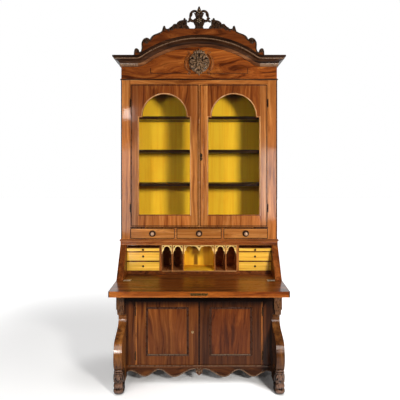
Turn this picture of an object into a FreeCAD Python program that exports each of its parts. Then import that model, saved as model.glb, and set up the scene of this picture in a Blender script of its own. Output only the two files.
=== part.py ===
import FreeCAD
import Part
import math
import os
import re
import Sketcher

doc = FreeCAD.newDocument("SecretaryBookcase")
sheet = doc.addObject("Spreadsheet::Sheet", "Sizes")

# Driving sizes in millimetres. Reaches run forward from the front of the bookcase.
sizes = [
    ("case_depth", 375, "front of the bookcase to the back of the whole piece"),
    ("back_board", 12, "thickness of the back boards"),
    ("cabinet_width", 1132, "lower cabinet across its sides"),
    ("cabinet_wall", 26, "side of the lower cabinet"),
    ("cabinet_reach", 160, "front of the lower cabinet"),
    ("cabinet_frame", 22, "front stiles and doors of the lower cabinet, front to back"),
    ("side_clearance", 40, "floor to the underside of the cabinet sides"),
    ("rear_foot_depth", 60, "rear foot, front to back"),
    ("plinth_height", 112, "floor to the underside of the cabinet floor"),
    ("floor_board", 16, "cabinet floor"),
    ("floor_nosing", 7, "cabinet floor ahead of the cabinet front"),
    ("cupboard_height", 444, "opening for the cupboard doors"),
    ("cabinet_stile", 119, "front stile of the lower cabinet"),
    ("cupboard_shelf_height", 210, "shelf above the cabinet floor"),
    ("shelf_board", 16, "cabinet shelf and cabinet top"),
    ("cleat", 20, "shelf cleat, both ways"),
    ("cupboard_hinge_inset", 36, "hinge from the end of the cupboard opening"),
    ("cupboard_stile", 72, "stile of a cupboard door"),
    ("cupboard_foot_rail", 61, "bottom rail of a cupboard door"),
    ("cupboard_head_rail", 36, "top rail of a cupboard door"),
    ("panel_board", 10, "panel of a cupboard door"),
    ("panel_depth", 9, "panel behind the face of its door"),
    ("panel_moulding", 15, "moulding round a cupboard panel"),
    ("moulding_proud", 3, "panel moulding ahead of its door"),
    ("small_plate", 18, "keyhole plate of the cupboard door across"),
    ("small_plate_height", 231, "keyhole plate above the cabinet floor"),
    ("small_plate_inset", 46, "keyhole plate from the middle of the cupboard"),
    ("rail_proud", 8, "facing under the desk ahead of the cabinet front"),
    ("facing_rise", 4, "facing under the desk above the cupboard doors"),
    ("apron_board", 22, "apron, front to back"),
    ("apron_low", 48, "floor to the lobes of the apron"),
    ("apron_arch", 97, "floor to the arches of the apron"),
    ("apron_end", 76, "floor to the ends of the apron"),
    ("apron_shoulder", 30, "first turn of the apron from its ends"),
    ("apron_outer_lobe", 380, "outer lobe of the apron from the middle"),
    ("apron_outer_arch", 278, "outer arch of the apron from the middle"),
    ("apron_inner_lobe", 190, "inner lobe of the apron from the middle"),
    ("apron_inner_arch", 58, "inner arch of the apron from the middle"),
    ("apron_knot", 50, "carved knot on the apron across"),
    ("apron_knot_drop", 55, "carved knot below the cabinet floor"),
    ("leg_width", 55, "scroll leg across"),
    ("leg_height", 485, "floor to the top of a scroll leg"),
    ("belly_reach", 349, "front of the belly of a scroll leg"),
    ("belly_height", 261, "floor to the belly of a scroll leg"),
    ("neck_reach", 163, "front of the neck of a scroll leg"),
    ("neck_height", 446, "floor to the neck of a scroll leg"),
    ("neck_flare", 8, "top of a scroll leg ahead of its neck"),
    ("ankle_setback", 27, "ankle of a scroll leg behind its belly"),
    ("foot_width", 68, "front foot across"),
    ("foot_height", 152, "front foot without its collar"),
    ("foot_collar", 18, "collar on a front foot"),
    ("collar_proud", 4, "lower bead of a collar beyond its leg"),
    ("collar_setback", 24, "collar behind the belly of its leg"),
    ("foot_reach", 329, "front of a front foot"),
    ("foot_depth", 93, "front foot, front to back"),
    ("foot_toe", 12, "rounding under a front foot"),
    ("foot_waist", 16, "hollow in the front of a front foot"),
    ("corbel_width", 56, "corbel block across"),
    ("corbel_inset", 2, "corbel block inside the side of the desk"),
    ("corbel_reach", 181, "front of a corbel block"),
    ("corbel_setback", 10, "foot of a corbel block behind its front"),
    ("corbel_roll", 26, "rounded foot of a corbel block"),
    ("corbel_quirk", 5, "step above the foot of a corbel block"),
    ("corbel_hollow", 12, "hollow above the step of a corbel block"),
    ("desk_overhang", 16, "side of the desk beyond the side of the cabinet"),
    ("desk_wall", 46, "side of the desk"),
    ("desk_height", 723, "floor to the writing surface"),
    ("desk_board", 38, "writing board and flap"),
    ("hinge_reach", 161, "hinge line of the flap"),
    ("flap_length", 270, "hinge line to the front of the open flap"),
    ("flap_gap", 1, "flap to the writing board"),
    ("opening_height", 219, "writing surface to the top board of the desk"),
    ("desk_lid", 30, "top board of the desk"),
    ("nook_setback", 11, "desk interior behind the front of the bookcase"),
    ("nook_depth", 176, "desk interior, front to back"),
    ("nook_base", 26, "base of the desk interior"),
    ("nook_back", 10, "back of the desk interior"),
    ("nook_top", 6, "top of the desk interior"),
    ("niche_width", 226, "middle niche"),
    ("divider", 7, "thin divider between pigeonholes"),
    ("pigeonhole_width", 75, "one pigeonhole"),
    ("post", 18, "post beside a drawer bank"),
    ("runner", 9, "runner board in a drawer bank"),
    ("slot_board", 3, "board under the letter slot of a drawer bank"),
    ("low_drawer_bay", 64, "bay of the lowest small drawer"),
    ("mid_drawer_bay", 63, "bay of the middle small drawer"),
    ("thin_drawer_bay", 22, "bay of the thin small drawer"),
    ("thin_drawer_proud", 9, "thin drawer ahead of the others"),
    ("small_front", 10, "front of a small drawer"),
    ("small_wall", 5, "sides, back and bottom of a small drawer"),
    ("small_knob", 16, "knob of a small drawer across"),
    ("small_stop", 3, "small drawer short of the back of the desk interior"),
    ("arch_setback", 2, "pigeonhole arch behind the front of the desk interior"),
    ("arch_board", 5, "pigeonhole arch, front to back"),
    ("arch_drop", 62, "pigeonhole arch from its top to its feet"),
    ("arch_foot", 5, "foot of a pigeonhole arch"),
    ("bookcase_inset", 6, "side of the bookcase inside the side of the desk"),
    ("bookcase_wall", 24, "side of the bookcase"),
    ("face_frame", 22, "stiles, rails and doors of the bookcase, front to back"),
    ("bookcase_stile", 67, "front stile of the bookcase"),
    ("waist_height", 12, "waist moulding"),
    ("waist_proud", 12, "waist moulding ahead of the bookcase"),
    ("bottom_board", 14, "bottom board and bottom rail of the bookcase"),
    ("drawer_bay", 80, "bay of the frieze drawers"),
    ("middle_rail", 8, "rail between frieze drawers and glazed doors"),
    ("bookcase_floor", 14, "floor inside the bookcase"),
    ("top_board", 18, "top inside the bookcase"),
    ("upper_rail", 29, "rail above the glazed doors"),
    ("partition", 13, "partition between frieze drawers"),
    ("middle_drawer", 334, "bay of the middle frieze drawer"),
    ("drawer_depth", 300, "frieze drawer, front to back"),
    ("drawer_front", 18, "front of a frieze drawer"),
    ("drawer_wall", 10, "sides, back and bottom of a frieze drawer"),
    ("drawer_gap", 0.8, "clearance round a drawer"),
    ("knob_plate", 44, "rosette of a frieze drawer knob across"),
    ("knob_length", 34, "frieze drawer knob"),
    ("door_height", 1056, "glazed door"),
    ("door_gap", 1, "clearance round a door"),
    ("outer_stile", 57, "outer stile of a glazed door"),
    ("meeting_stile", 62, "meeting stile of a glazed door"),
    ("foot_rail", 85, "bottom rail of a glazed door"),
    ("head_rail", 238, "arched head of a glazed door at its shoulders"),
    ("arch_shoulder", 25, "ledge beside the arch of a glazed door"),
    ("pane", 3, "glass"),
    ("pane_depth", 10, "glass behind the face of its door"),
    ("glazing_bead", 6, "bead round a pane"),
    ("shelf", 22, "bookcase shelf"),
    ("shelf_setback", 40, "bookcase shelf behind the front"),
    ("lower_shelf", 295, "lowest shelf above the bookcase floor"),
    ("shelf_pitch", 250, "shelf to shelf"),
    ("peg", 7, "shelf peg across"),
    ("peg_length", 24, "shelf peg"),
    ("peg_reach", 14, "shelf peg inside the bookcase"),
    ("peg_inset", 40, "shelf peg from the end of its shelf"),
    ("pediment_height", 100, "pediment board at its ends"),
    ("pediment_board", 22, "pediment board, front to back"),
    ("pediment_bead", 10, "bead under the pediment"),
    ("bead_proud", 7, "bead under the pediment ahead of the board"),
    ("cornice_height", 74, "cornice"),
    ("cornice_reach", 56, "cornice ahead of the bookcase"),
    ("arch_rise", 146, "rise of the arched cornice"),
    ("arch_run", 460, "half span of the arched cornice"),
    ("cornice_hollow", 120, "hollow turn between the level ends and the arch"),
    ("crest_half", 470, "half width of the crest"),
    ("crest_height", 114, "crest above the cornice at its shoulders"),
    ("crest_board", 22, "crest panel, front to back"),
    ("crest_reach", 50, "front of the crest panel"),
    ("urn_height", 164, "carving above the middle of the crest panel"),
    ("urn_half", 70, "half width of the ring of the carving"),
    ("cartouche_half", 110, "half width of the cartouche"),
    ("cartouche_height", 204, "cartouche"),
    ("cartouche_rise", 127, "middle of the cartouche above the foot of the pediment"),
    ("cartouche_proud", 26, "cartouche ahead of the pediment"),
    ("leaf", 1.6, "hinge leaf"),
    ("leaf_width", 17, "hinge leaf behind the face of its door"),
    ("leaf_length", 60, "hinge along its pin"),
    ("knuckle", 4, "radius of a hinge knuckle"),
    ("hinge_play", 0.1, "clearance between hinge pieces"),
    ("glazed_hinge_inset", 110, "hinge from the end of a glazed door"),
    ("flap_leaf", 52, "flap hinge along its pin"),
    ("flap_hinge_inset", 6, "flap hinge from the side of the desk"),
    ("flap_leaf_width", 30, "flap hinge leaf from the pin"),
    ("lock_plate", 112, "lock plate of the flap across"),
    ("lock_plate_height", 16, "lock plate of the flap"),
    ("lock_plate_board", 2, "lock plate of the flap, front to back"),
    ("keyhole_plate", 56, "keyhole plate of the glazed door"),
    ("keyhole_height", 517, "keyhole plate above the foot of the glazed door"),
    ("keyhole_inset", 14, "keyhole plate from the edge of the glazed door"),
    ("plate_board", 1.5, "keyhole plates, front to back"),
]
names = {}
for row, (alias, number, note) in enumerate(sizes, start=1):
    sheet.set("A%d" % row, alias)
    sheet.set("B%d" % row, str(number))
    sheet.setAlias("B%d" % row, alias)
    sheet.set("C%d" % row, note)
    names[alias] = "Sizes." + alias
doc.recompute()

# Places that follow from the sizes. The open flap and the back are equally far from the origin.
places = {
    "face": "(hinge_reach + flap_length - case_depth) / 2",
    "back": "face + case_depth",
    "inner_back": "back - back_board",
    "front": "face - cabinet_reach",
    "hinge": "face - hinge_reach",
    "cabinet_half": "cabinet_width / 2",
    "cabinet_inner": "cabinet_half - cabinet_wall",
    "cupboard_half": "cabinet_half - cabinet_stile",
    "cupboard_foot": "plinth_height + floor_board",
    "cupboard_head": "cupboard_foot + cupboard_height",
    "desk_half": "cabinet_half + desk_overhang",
    "desk_inner": "desk_half - desk_wall",
    "desk_foot": "desk_height - desk_board",
    "opening_top": "desk_height + opening_height",
    "waist": "opening_top + desk_lid",
    "nook_front": "face + nook_setback",
    "nook_end": "nook_front + nook_depth",
    "nook_foot": "desk_height + nook_base",
    "nook_head": "opening_top - nook_top",
    "niche_half": "niche_width / 2",
    "first_divider": "niche_half + divider",
    "second_divider": "first_divider + pigeonhole_width + divider",
    "post_inner": "second_divider + pigeonhole_width",
    "bank_inner": "post_inner + post",
    "low_runner": "nook_foot + low_drawer_bay",
    "mid_runner": "low_runner + runner + mid_drawer_bay",
    "thin_runner": "mid_runner + runner + thin_drawer_bay",
    "top_half": "desk_half - bookcase_inset",
    "top_inner": "top_half - bookcase_wall",
    "opening_half": "top_half - bookcase_stile",
    "inside": "face + face_frame + door_gap",
    "drawer_foot": "waist + bottom_board",
    "drawer_head": "drawer_foot + drawer_bay",
    "door_foot": "drawer_head + middle_rail + door_gap",
    "door_head": "door_foot + door_height",
    "bookcase_head": "door_head + door_gap + upper_rail",
    "pane_inner": "meeting_stile + door_gap",
    "pane_outer": "opening_half - door_gap - outer_stile",
    "pane_foot": "door_foot + foot_rail",
    "shoulder": "door_head - head_rail",
    "arch_radius": "(pane_outer - pane_inner) / 2 - arch_shoulder",
    "first_shelf": "drawer_head + bookcase_floor + lower_shelf",
    "cornice_foot": "bookcase_head + pediment_height",
    "cornice_head": "cornice_foot + cornice_height",
    "corbel_middle": "desk_half - corbel_inset - corbel_width / 2",
    "leg_outer": "cabinet_half",
    "collar_head": "foot_height + foot_collar",
}


def ref(text):
    """Write an expression over sizes and places for the sheet."""
    def swap(match):
        word = match.group(0)
        if word in names:
            return names[word]
        if word in places:
            return "(" + ref(places[word]) + ")"
        return word
    return re.sub(r"[a-z][a-z_]*", swap, text)


def value(text):
    return float(sheet.evalExpression(ref(text)))


nodes = []


def node(label, made):
    made.Label = label
    nodes.append(made)
    return made


def board(name, x, y, z):
    """A straight board between two places along each axis."""
    box = doc.addObject("Part::Box", name)
    for side, axis, (low, high) in zip(("Length", "Width", "Height"), "xyz", (x, y, z)):
        box.setExpression(side, ref("(%s) - (%s)" % (high, low)))
        box.setExpression("Placement.Base." + axis, ref(low))
    return box


def twin(source, name):
    """The same piece on the other side of the middle."""
    made = doc.addObject("Part::Mirroring", name)
    made.Source = source
    made.Normal = (1, 0, 0)
    return made


def pair(name, source):
    return [twin(source, name + "_left"), source]


def group(name, pieces):
    made = doc.addObject("Part::Compound", name)
    made.Links = pieces
    return made


def less(name, base, tools):
    made = doc.addObject("Part::Cut", name)
    made.Base = base
    made.Tool = tools[0] if len(tools) == 1 else group(name + "_tools", tools)
    return made


def solid(name, shape):
    made = doc.addObject("Part::Feature", name)
    made.Shape = shape
    return made


def edges(points, put):
    """Edges through points: a pair is a straight step, four numbers an arc, a list a smooth curve."""
    found = []
    at = points[0]
    for step in points[1:]:
        if isinstance(step, list):
            curve = Part.BSplineCurve()
            curve.interpolate([put(*at)] + [put(*p) for p in step])
            found.append(curve.toShape())
            at = step[-1]
        elif len(step) == 4:
            found.append(Part.Arc(put(*at), put(*step[:2]), put(*step[2:])).toShape())
            at = step[2:]
        elif put(*at).distanceToPoint(put(*step)) > 1e-6:
            found.append(Part.makeLine(put(*at), put(*step)))
            at = step
    return found


def face_of(points, put):
    return Part.Face(Part.Wire(edges(points + [points[0]], put)))


def sketch_prism(name, plane, corners, start, length):
    """A padded outline whose corners are bound to the sheet."""
    body = doc.addObject("PartDesign::Body", name)
    sketch = body.newObject("Sketcher::SketchObject", name + "_outline")
    support = [f for f in body.Origin.OriginFeatures if f.Role == plane][0]
    sketch.AttachmentSupport = [(support, "")]
    sketch.MapMode = "FlatFace"
    sketch.setExpression("AttachmentOffset.Base.z", ref(start))
    spots = [FreeCAD.Vector(value(a), value(b), 0) for a, b in corners]
    count = len(spots)
    for i in range(count):
        sketch.addGeometry(Part.LineSegment(spots[i], spots[(i + 1) % count]))
    for i in range(count):
        sketch.addConstraint(Sketcher.Constraint("Coincident", i, 2, (i + 1) % count, 1))
    for i, (a, b) in enumerate(corners):
        for kind, text, number in (("DistanceX", a, spots[i].x), ("DistanceY", b, spots[i].y)):
            at = sketch.addConstraint(Sketcher.Constraint(kind, -1, 1, i, 1, number))
            sketch.setExpression("Constraints[%d]" % at, ref(text))
    pad = body.newObject("PartDesign::Pad", name + "_pad")
    pad.Profile = sketch
    pad.setExpression("Length", ref(length))
    body.Tip = pad
    return body


def turned(outline):
    """A turned piece about its own upright axis, drawn as radius and height."""
    return Part.makeSolid(
        face_of(outline, lambda r, h: FreeCAD.Vector(r, 0, h)).revolve(
            FreeCAD.Vector(0, 0, 0), FreeCAD.Vector(0, 0, 1), 360
        ).Shells[0]
    )


X = FreeCAD.Vector(1, 0, 0)
Y = FreeCAD.Vector(0, 1, 0)
Z = FreeCAD.Vector(0, 0, 1)
face = value("face")
back = value("back")

# Lower cabinet: sides, floor, shelf on cleats, top and back.
side = board("cabinet_side", ("cabinet_inner", "cabinet_half"), ("front + cabinet_frame", "back"),
             ("side_clearance", "desk_foot"))
node("cabinet_sides", group("cabinet_sides", pair("cabinet_side", side)))
foot = board("rear_foot", ("cabinet_half - foot_width", "cabinet_half"),
             ("inner_back - rear_foot_depth", "inner_back"), ("0", "side_clearance"))
block = board("rear_block", ("cabinet_half - foot_width", "cabinet_inner"),
              ("inner_back - rear_foot_depth", "inner_back"), ("side_clearance", "plinth_height"))
node("rear_feet", group("rear_feet", pair("rear_foot", foot) + pair("rear_block", block)))
shelf = board("cabinet_shelf_board", ("-cabinet_inner", "cabinet_inner"),
              ("front + 3 * cabinet_frame", "inner_back"),
              ("cupboard_foot + cupboard_shelf_height",
               "cupboard_foot + cupboard_shelf_height + shelf_board"))
cleat = board("cabinet_cleat", ("cabinet_inner - cleat", "cabinet_inner"),
              ("front + 4 * cabinet_frame", "inner_back"),
              ("cupboard_foot + cupboard_shelf_height - cleat", "cupboard_foot + cupboard_shelf_height"))
node("cabinet_shelf", group("cabinet_shelf", [shelf] + pair("cabinet_cleat", cleat)))
cabinet_across = ("-cabinet_inner", "cabinet_inner")
cabinet_depth = ("front + cabinet_frame", "inner_back")
node("cabinet_boards", group("cabinet_boards", [
    board("cabinet_floor", cabinet_across, cabinet_depth, ("plinth_height", "cupboard_foot")),
    board("cabinet_top", cabinet_across, cabinet_depth, ("desk_foot - shelf_board", "desk_foot")),
]))
node("back_boards", group("back_boards", [
    board("cabinet_back", cabinet_across, ("inner_back", "back"), ("plinth_height", "desk_foot")),
    board("desk_back", ("-desk_inner", "desk_inner"), ("inner_back", "back"), ("desk_foot", "opening_top")),
]))


# Butt hinges. The pin stands one knuckle ahead of the faces that the leaves are let into.
def hinge_leaf(side_sign, own, bore):
    """One leaf about an upright pin: a plate beside the pin, and knuckles at its own heights."""
    thick, wide, radius = value("leaf"), value("leaf_width"), value("knuckle")
    length, gap, play = value("leaf_length"), value("door_gap") / 2, value("hinge_play")
    start = gap if side_sign > 0 else -gap - thick
    made = Part.makeBox(thick, wide - 3 * play, length, FreeCAD.Vector(start, radius + 3 * play, 0))
    for low_end, high_end in own:
        web = Part.makeBox(thick, radius + 4 * play, high_end - low_end, FreeCAD.Vector(start, 0, low_end))
        barrel = Part.makeCylinder(radius, high_end - low_end, FreeCAD.Vector(0, 0, low_end))
        made = made.fuse([web, barrel])
    return made.cut(Part.makeCylinder(bore, length + 2, FreeCAD.Vector(0, 0, -1))).removeSplitter()


third = value("leaf_length") / 3
pin_radius, play = value("knuckle") * 0.45, value("hinge_play")
fixed_leaf = hinge_leaf(1, [(0, third - play), (2 * third + play, 3 * third)], pin_radius)
moving_leaf = hinge_leaf(-1, [(third + play, 2 * third - play)], pin_radius + play / 2)
hinge_pin = Part.makeCylinder(pin_radius, 3 * third)


def placed(shape, x, y, z, flip=False):
    copy = shape.copy()
    copy.translate(FreeCAD.Vector(x, y, z))
    return copy.mirror(FreeCAD.Vector(0, 0, 0), X) if flip else copy


def hinge_sets(half, y, heights):
    """Fixed pieces on both sides, then moving leaves of the left and of the right door."""
    fixed, left, right = [], [], []
    for z in heights:
        for flip, leaves in ((True, left), (False, right)):
            fixed.append(placed(fixed_leaf, half, y, z, flip))
            fixed.append(placed(hinge_pin, half, y, z, flip))
            leaves.append(placed(moving_leaf, half, y, z, flip))
    return fixed, left, right


def leaf_recess(name, edge, inward, y, z):
    """Housing for one leaf in the edge of a stile."""
    x = (edge, edge + " + leaf") if inward > 0 else (edge + " - leaf", edge)
    return board(name, x, (y, y + " + leaf_width"), (z, z + " + leaf_length"))


cupboard_hinges = ["cupboard_foot + cupboard_hinge_inset",
                   "cupboard_head - leaf_length - cupboard_hinge_inset"]
glazed_hinges = ["door_foot + glazed_hinge_inset", "door_head - leaf_length - glazed_hinge_inset"]
cupboard_fixed, cupboard_left, cupboard_right = hinge_sets(
    value("cupboard_half - door_gap / 2"), value("front - knuckle"), [value(z) for z in cupboard_hinges])
glazed_fixed, glazed_left, glazed_right = hinge_sets(
    value("opening_half - door_gap / 2"), value("face - knuckle"), [value(z) for z in glazed_hinges])


# Front of the lower cabinet: stiles, bottom rail with its nosing, and the rail under the desk.
stile = less("cabinet_stile", board(
    "cabinet_stile_board", ("cupboard_half", "cabinet_half"), ("front", "front + cabinet_frame"),
    ("cupboard_foot", "desk_foot")),
    [leaf_recess("cabinet_stile_recess_%d" % i, "cupboard_half", 1, "front", z)
     for i, z in enumerate(cupboard_hinges)])
node("cabinet_face_frame", group("cabinet_face_frame", pair("cabinet_stile", stile) + [
    board("cabinet_foot_rail", ("-cabinet_half", "cabinet_half"), ("front", "front + cabinet_frame"),
          ("plinth_height", "cupboard_foot")),
    board("cabinet_nosing", ("leg_width - cabinet_half", "cabinet_half - leg_width"),
          ("front - floor_nosing", "front"), ("plinth_height", "cupboard_foot")),
    board("cabinet_head_rail", ("-cupboard_half", "cupboard_half"), ("front", "front + cabinet_frame"),
          ("cupboard_head", "desk_foot")),
    board("cabinet_facing", ("corbel_width / 2 - corbel_middle", "corbel_middle - corbel_width / 2"),
          ("front - rail_proud", "front"), ("cupboard_head + facing_rise", "desk_foot - flap_gap / 2")),
]))

# Apron: a shaped board under the bottom rail with a small carved knot in the middle.
low, arch, end = value("apron_low"), value("apron_arch"), value("apron_end")
top, half, clear = value("plinth_height"), value("cabinet_half"), value("side_clearance")
ends = value("cabinet_half - leg_width")
wave = [(ends - value("apron_shoulder"), end + (arch - end) * 0.55), (value("apron_outer_lobe"), low),
        (value("apron_outer_arch"), arch), (value("apron_inner_lobe"), low),
        (value("apron_inner_arch"), arch)]
knot, knot_drop = value("apron_knot / 2"), value("apron_knot_drop")
apron_face = face_of(
    [(-half, top), (half, top), (half, clear), (ends, clear), (ends, end), wave + [(0, arch)],
     [(-x, z) for x, z in reversed(wave)] + [(-ends, end)], (-ends, clear), (-half, clear)],
    lambda x, z: FreeCAD.Vector(x, value("front"), z))
knot_face = face_of(
    [(-knot, top), (knot, top), (knot * 0.9, top - knot_drop * 0.55, 0, top - knot_drop),
     (-knot * 0.9, top - knot_drop * 0.55, -knot, top)],
    lambda x, z: FreeCAD.Vector(x, value("front"), z))
node("apron", group("apron", [
    solid("apron_piece", apron_face.extrude(Y * value("apron_board"))),
    solid("apron_knot_piece", knot_face.extrude(Y * -value("floor_nosing"))),
]))


# Scroll legs: an S in side view, flat across, with the foot under the belly.
def at_leg(x):
    return lambda reach, z: FreeCAD.Vector(x, face - reach, z)


rear = value("cabinet_reach")
collar, leg_top = value("collar_head"), value("leg_height")
belly, belly_z = value("belly_reach"), value("belly_height")
neck, neck_z = value("neck_reach"), value("neck_height")
foot_back = value("foot_reach - foot_depth")
sweep, drop = belly - neck, neck_z - belly_z
ankle = value("ankle_setback")
leg_inner = value("leg_outer - leg_width")
leg_face = face_of([
    (rear, clear), (foot_back, clear), (foot_back, collar), (belly - ankle, collar),
    [(belly - ankle / 3, collar + (belly_z - collar) * 0.34), (belly, belly_z),
     (belly - ankle / 2.7, belly_z + drop * 0.27),
     (belly - sweep * 0.15, belly_z + drop * 0.475), (belly - sweep * 0.33, belly_z + drop * 0.58),
     (belly - sweep * 0.62, belly_z + drop * 0.69), (belly - sweep * 0.9, belly_z + drop * 0.83),
     (neck, neck_z), (neck + value("neck_flare"), leg_top)],
    (rear, leg_top),
], at_leg(leg_inner))
leg = solid("scroll_leg", leg_face.extrude(X * value("leg_width")))
node("scroll_legs", group("scroll_legs", pair("scroll_leg", leg)))

# Front feet: a scrolled block under a collar of two beads.
foot_front, foot_top = value("foot_reach"), value("foot_height")
toe, waist = value("foot_toe"), value("foot_waist")
foot_start = value("leg_outer - leg_width / 2 - foot_width / 2")
foot_face = face_of([
    (foot_back + toe, 0), (foot_front - toe, 0),
    [(foot_front, foot_top * 0.2), (foot_front - waist * 0.3125, foot_top * 0.45),
     (foot_front - waist, foot_top * 0.66), (foot_front - waist * 0.375, foot_top * 0.87),
     (foot_front - waist * 0.1875, foot_top)],
    (foot_back, foot_top), (foot_back, clear),
], at_leg(foot_start))
foot_shape = foot_face.extrude(X * value("foot_width"))
bead_height = value("foot_collar") / 2
proud = value("collar_proud")
for level, grow in ((0, proud), (1, proud / 4)):
    ring_front = belly - value("collar_setback") + grow
    ring = face_of([
        (foot_back, foot_top + level * bead_height), (ring_front, foot_top + level * bead_height),
        (ring_front + proud, foot_top + (level + 0.5) * bead_height,
         ring_front, foot_top + (level + 1) * bead_height),
        (foot_back, foot_top + (level + 1) * bead_height),
    ], at_leg(leg_inner - grow)).extrude(X * (value("leg_width") + 2 * grow))
    foot_shape = foot_shape.fuse(ring)
node("front_feet", group("front_feet", pair("front_foot", solid("front_foot", foot_shape.removeSplitter()))))

# Corbel blocks: over the scroll legs, carrying the open flap.
corbel_front, corbel_top = value("corbel_reach"), value("desk_foot - flap_gap / 2")
setback, roll, dip = value("corbel_setback"), value("corbel_roll"), value("corbel_hollow")
step_top = leg_top + roll + value("corbel_quirk")
corbel_face = face_of([
    (rear, leg_top), (corbel_front - setback, leg_top),
    (corbel_front, leg_top + roll / 2, corbel_front - setback, leg_top + roll),
    (corbel_front - setback, step_top),
    (corbel_front - setback * 0.3, step_top + dip / 4, corbel_front, step_top + dip),
    (corbel_front, corbel_top), (rear, corbel_top),
], at_leg(value("corbel_middle - corbel_width / 2")))
corbel = solid("corbel", corbel_face.extrude(X * value("corbel_width")))
node("corbel_blocks", group("corbel_blocks", pair("corbel", corbel)))

# Desk: slant-cut sides, writing board and top board.
desk_side = sketch_prism("desk_side", "YZ_Plane", [
    ("back", "desk_foot"), ("back", "opening_top"), ("face", "opening_top"),
    ("hinge + flap_gap", "desk_height"), ("hinge + flap_gap", "desk_foot"),
], "desk_inner", "desk_wall")
node("desk_sides", group("desk_sides", pair("desk_side", desk_side)))
hinge_start = "desk_inner - flap_hinge_inset - flap_leaf"
hinge_end = "desk_inner - flap_hinge_inset"
board_recess = board("board_recess", (hinge_start, hinge_end), ("hinge", "hinge + flap_leaf_width"),
                     ("desk_height - leaf", "desk_height + leaf"))
board_notch = board("board_notch", (hinge_start, hinge_end), ("hinge", "hinge + 1.25 * knuckle"),
                    ("desk_height - 1.25 * knuckle", "desk_height + leaf"))
node("writing_board", less("writing_board", board(
    "writing_board_plain", ("-desk_inner", "desk_inner"), ("hinge + flap_gap", "inner_back"),
    ("desk_foot", "desk_height")),
    pair("board_recess", board_recess) + pair("board_notch", board_notch)))
node("desk_top", board("desk_top", ("-desk_half", "desk_half"), ("face", "back"), ("opening_top", "waist")))

# Writing flap, open: board, lock plate in its front edge, hinge leaves in its rear edge.
flap_recess = board("flap_recess", (hinge_start, hinge_end), ("hinge - flap_leaf_width", "hinge"),
                    ("desk_height - leaf", "desk_height + leaf"))
flap_notch = board("flap_notch", (hinge_start, hinge_end), ("hinge - 1.25 * knuckle", "hinge"),
                   ("desk_height - 1.25 * knuckle", "desk_height + leaf"))
lock_box = ("hinge - flap_length", "hinge - flap_length + lock_plate_board")
lock_low = "desk_height - desk_board / 2 - lock_plate_height / 2"
lock_recess = board("lock_recess", ("-lock_plate / 2", "lock_plate / 2"), lock_box,
                    (lock_low, lock_low + " + lock_plate_height"))
node("writing_flap", less("writing_flap", board(
    "writing_flap_plain", ("-desk_half", "desk_half"), ("hinge - flap_length", "hinge"),
    ("desk_foot", "desk_height")),
    pair("flap_recess", flap_recess) + pair("flap_notch", flap_notch) + [lock_recess]))


def flap_leaf(sign, own, bore):
    """A flat leaf about a level pin, flush with the writing surface."""
    thick, wide = value("leaf"), value("flap_leaf_width")
    radius, length = value("knuckle"), value("flap_leaf")
    near = 1.25 * radius
    start = near if sign > 0 else -wide
    made = Part.makeBox(length, wide - near, thick, FreeCAD.Vector(0, start, -thick))
    for low_end, high_end in own:
        web = Part.makeBox(high_end - low_end, near, thick,
                           FreeCAD.Vector(low_end, 0 if sign > 0 else -near, -thick))
        barrel = Part.makeCylinder(radius, high_end - low_end, FreeCAD.Vector(low_end, 0, 0), X)
        made = made.fuse([web, barrel])
    return made.cut(Part.makeCylinder(bore, length + 2, FreeCAD.Vector(-1, 0, 0), X)).removeSplitter()


part_third = value("flap_leaf") / 3
flap_at = (value(hinge_start), value("hinge"), value("desk_height"))
flap_fixed_leaf = flap_leaf(1, [(0, part_third - play), (2 * part_third + play, 3 * part_third)], pin_radius)
flap_moving_leaf = flap_leaf(-1, [(part_third + play, 2 * part_third - play)], pin_radius + play / 2)
flap_pin = Part.makeCylinder(pin_radius, 3 * part_third, FreeCAD.Vector(0, 0, 0), X)
flap_fixed = [placed(s, *flap_at, flip) for s in (flap_fixed_leaf, flap_pin) for flip in (True, False)]
lock_piece = board("lock_plate_piece", ("-lock_plate / 2", "lock_plate / 2"), lock_box,
                   (lock_low, lock_low + " + lock_plate_height"))
node("flap_fittings", group("flap_fittings", [lock_piece] + [
    solid("flap_leaf_" + word, placed(flap_moving_leaf, *flap_at, flip))
    for word, flip in (("left", True), ("right", False))]))
node("fixed_hinges", solid("fixed_hinges", Part.makeCompound(cupboard_fixed + glazed_fixed + flap_fixed)))

# Desk interior: base, top, back, posts and dividers.
nook_depth = ("nook_front", "nook_end")
nook_rise = ("nook_foot", "nook_head")
post = board("nook_post", ("post_inner", "bank_inner"), nook_depth, nook_rise)
near_divider = board("near_divider", ("niche_half", "first_divider"), nook_depth, nook_rise)
far_divider = board("far_divider", ("second_divider - divider", "second_divider"), nook_depth, nook_rise)
node("desk_interior", group("desk_interior", [
    board("nook_base_board", ("-desk_inner", "desk_inner"), nook_depth, ("desk_height", "nook_foot")),
    board("nook_top_board", ("-desk_inner", "desk_inner"), nook_depth, ("nook_head", "opening_top")),
    board("nook_back_board", ("-desk_inner", "desk_inner"), ("nook_end", "nook_end + nook_back"),
          ("desk_height", "opening_top")),
] + pair("nook_post", post) + pair("near_divider", near_divider) + pair("far_divider", far_divider)))
node("niche_back", board("niche_back", ("-niche_half", "niche_half"),
                         ("nook_end - slot_board", "nook_end"), nook_rise))
runners = []
for label, foot_at, thick in (("low", "low_runner", "runner"), ("mid", "mid_runner", "runner"),
                              ("thin", "thin_runner", "slot_board")):
    runners += pair(label + "_runner", board(
        label + "_runner", ("bank_inner", "desk_inner"), nook_depth, (foot_at, foot_at + " + " + thick)))
node("drawer_runners", group("drawer_runners", runners))

# Pointed arches hung in the pigeonholes, and the double arch with its pendant in the niche.
drop_down, thin_foot, arch_y = value("arch_drop"), value("arch_foot"), value("nook_front + arch_setback")
arch_head = value("nook_head")


def arch_put(start):
    return lambda x, z: FreeCAD.Vector(start + x, arch_y, arch_head + z * drop_down / 62)


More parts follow.
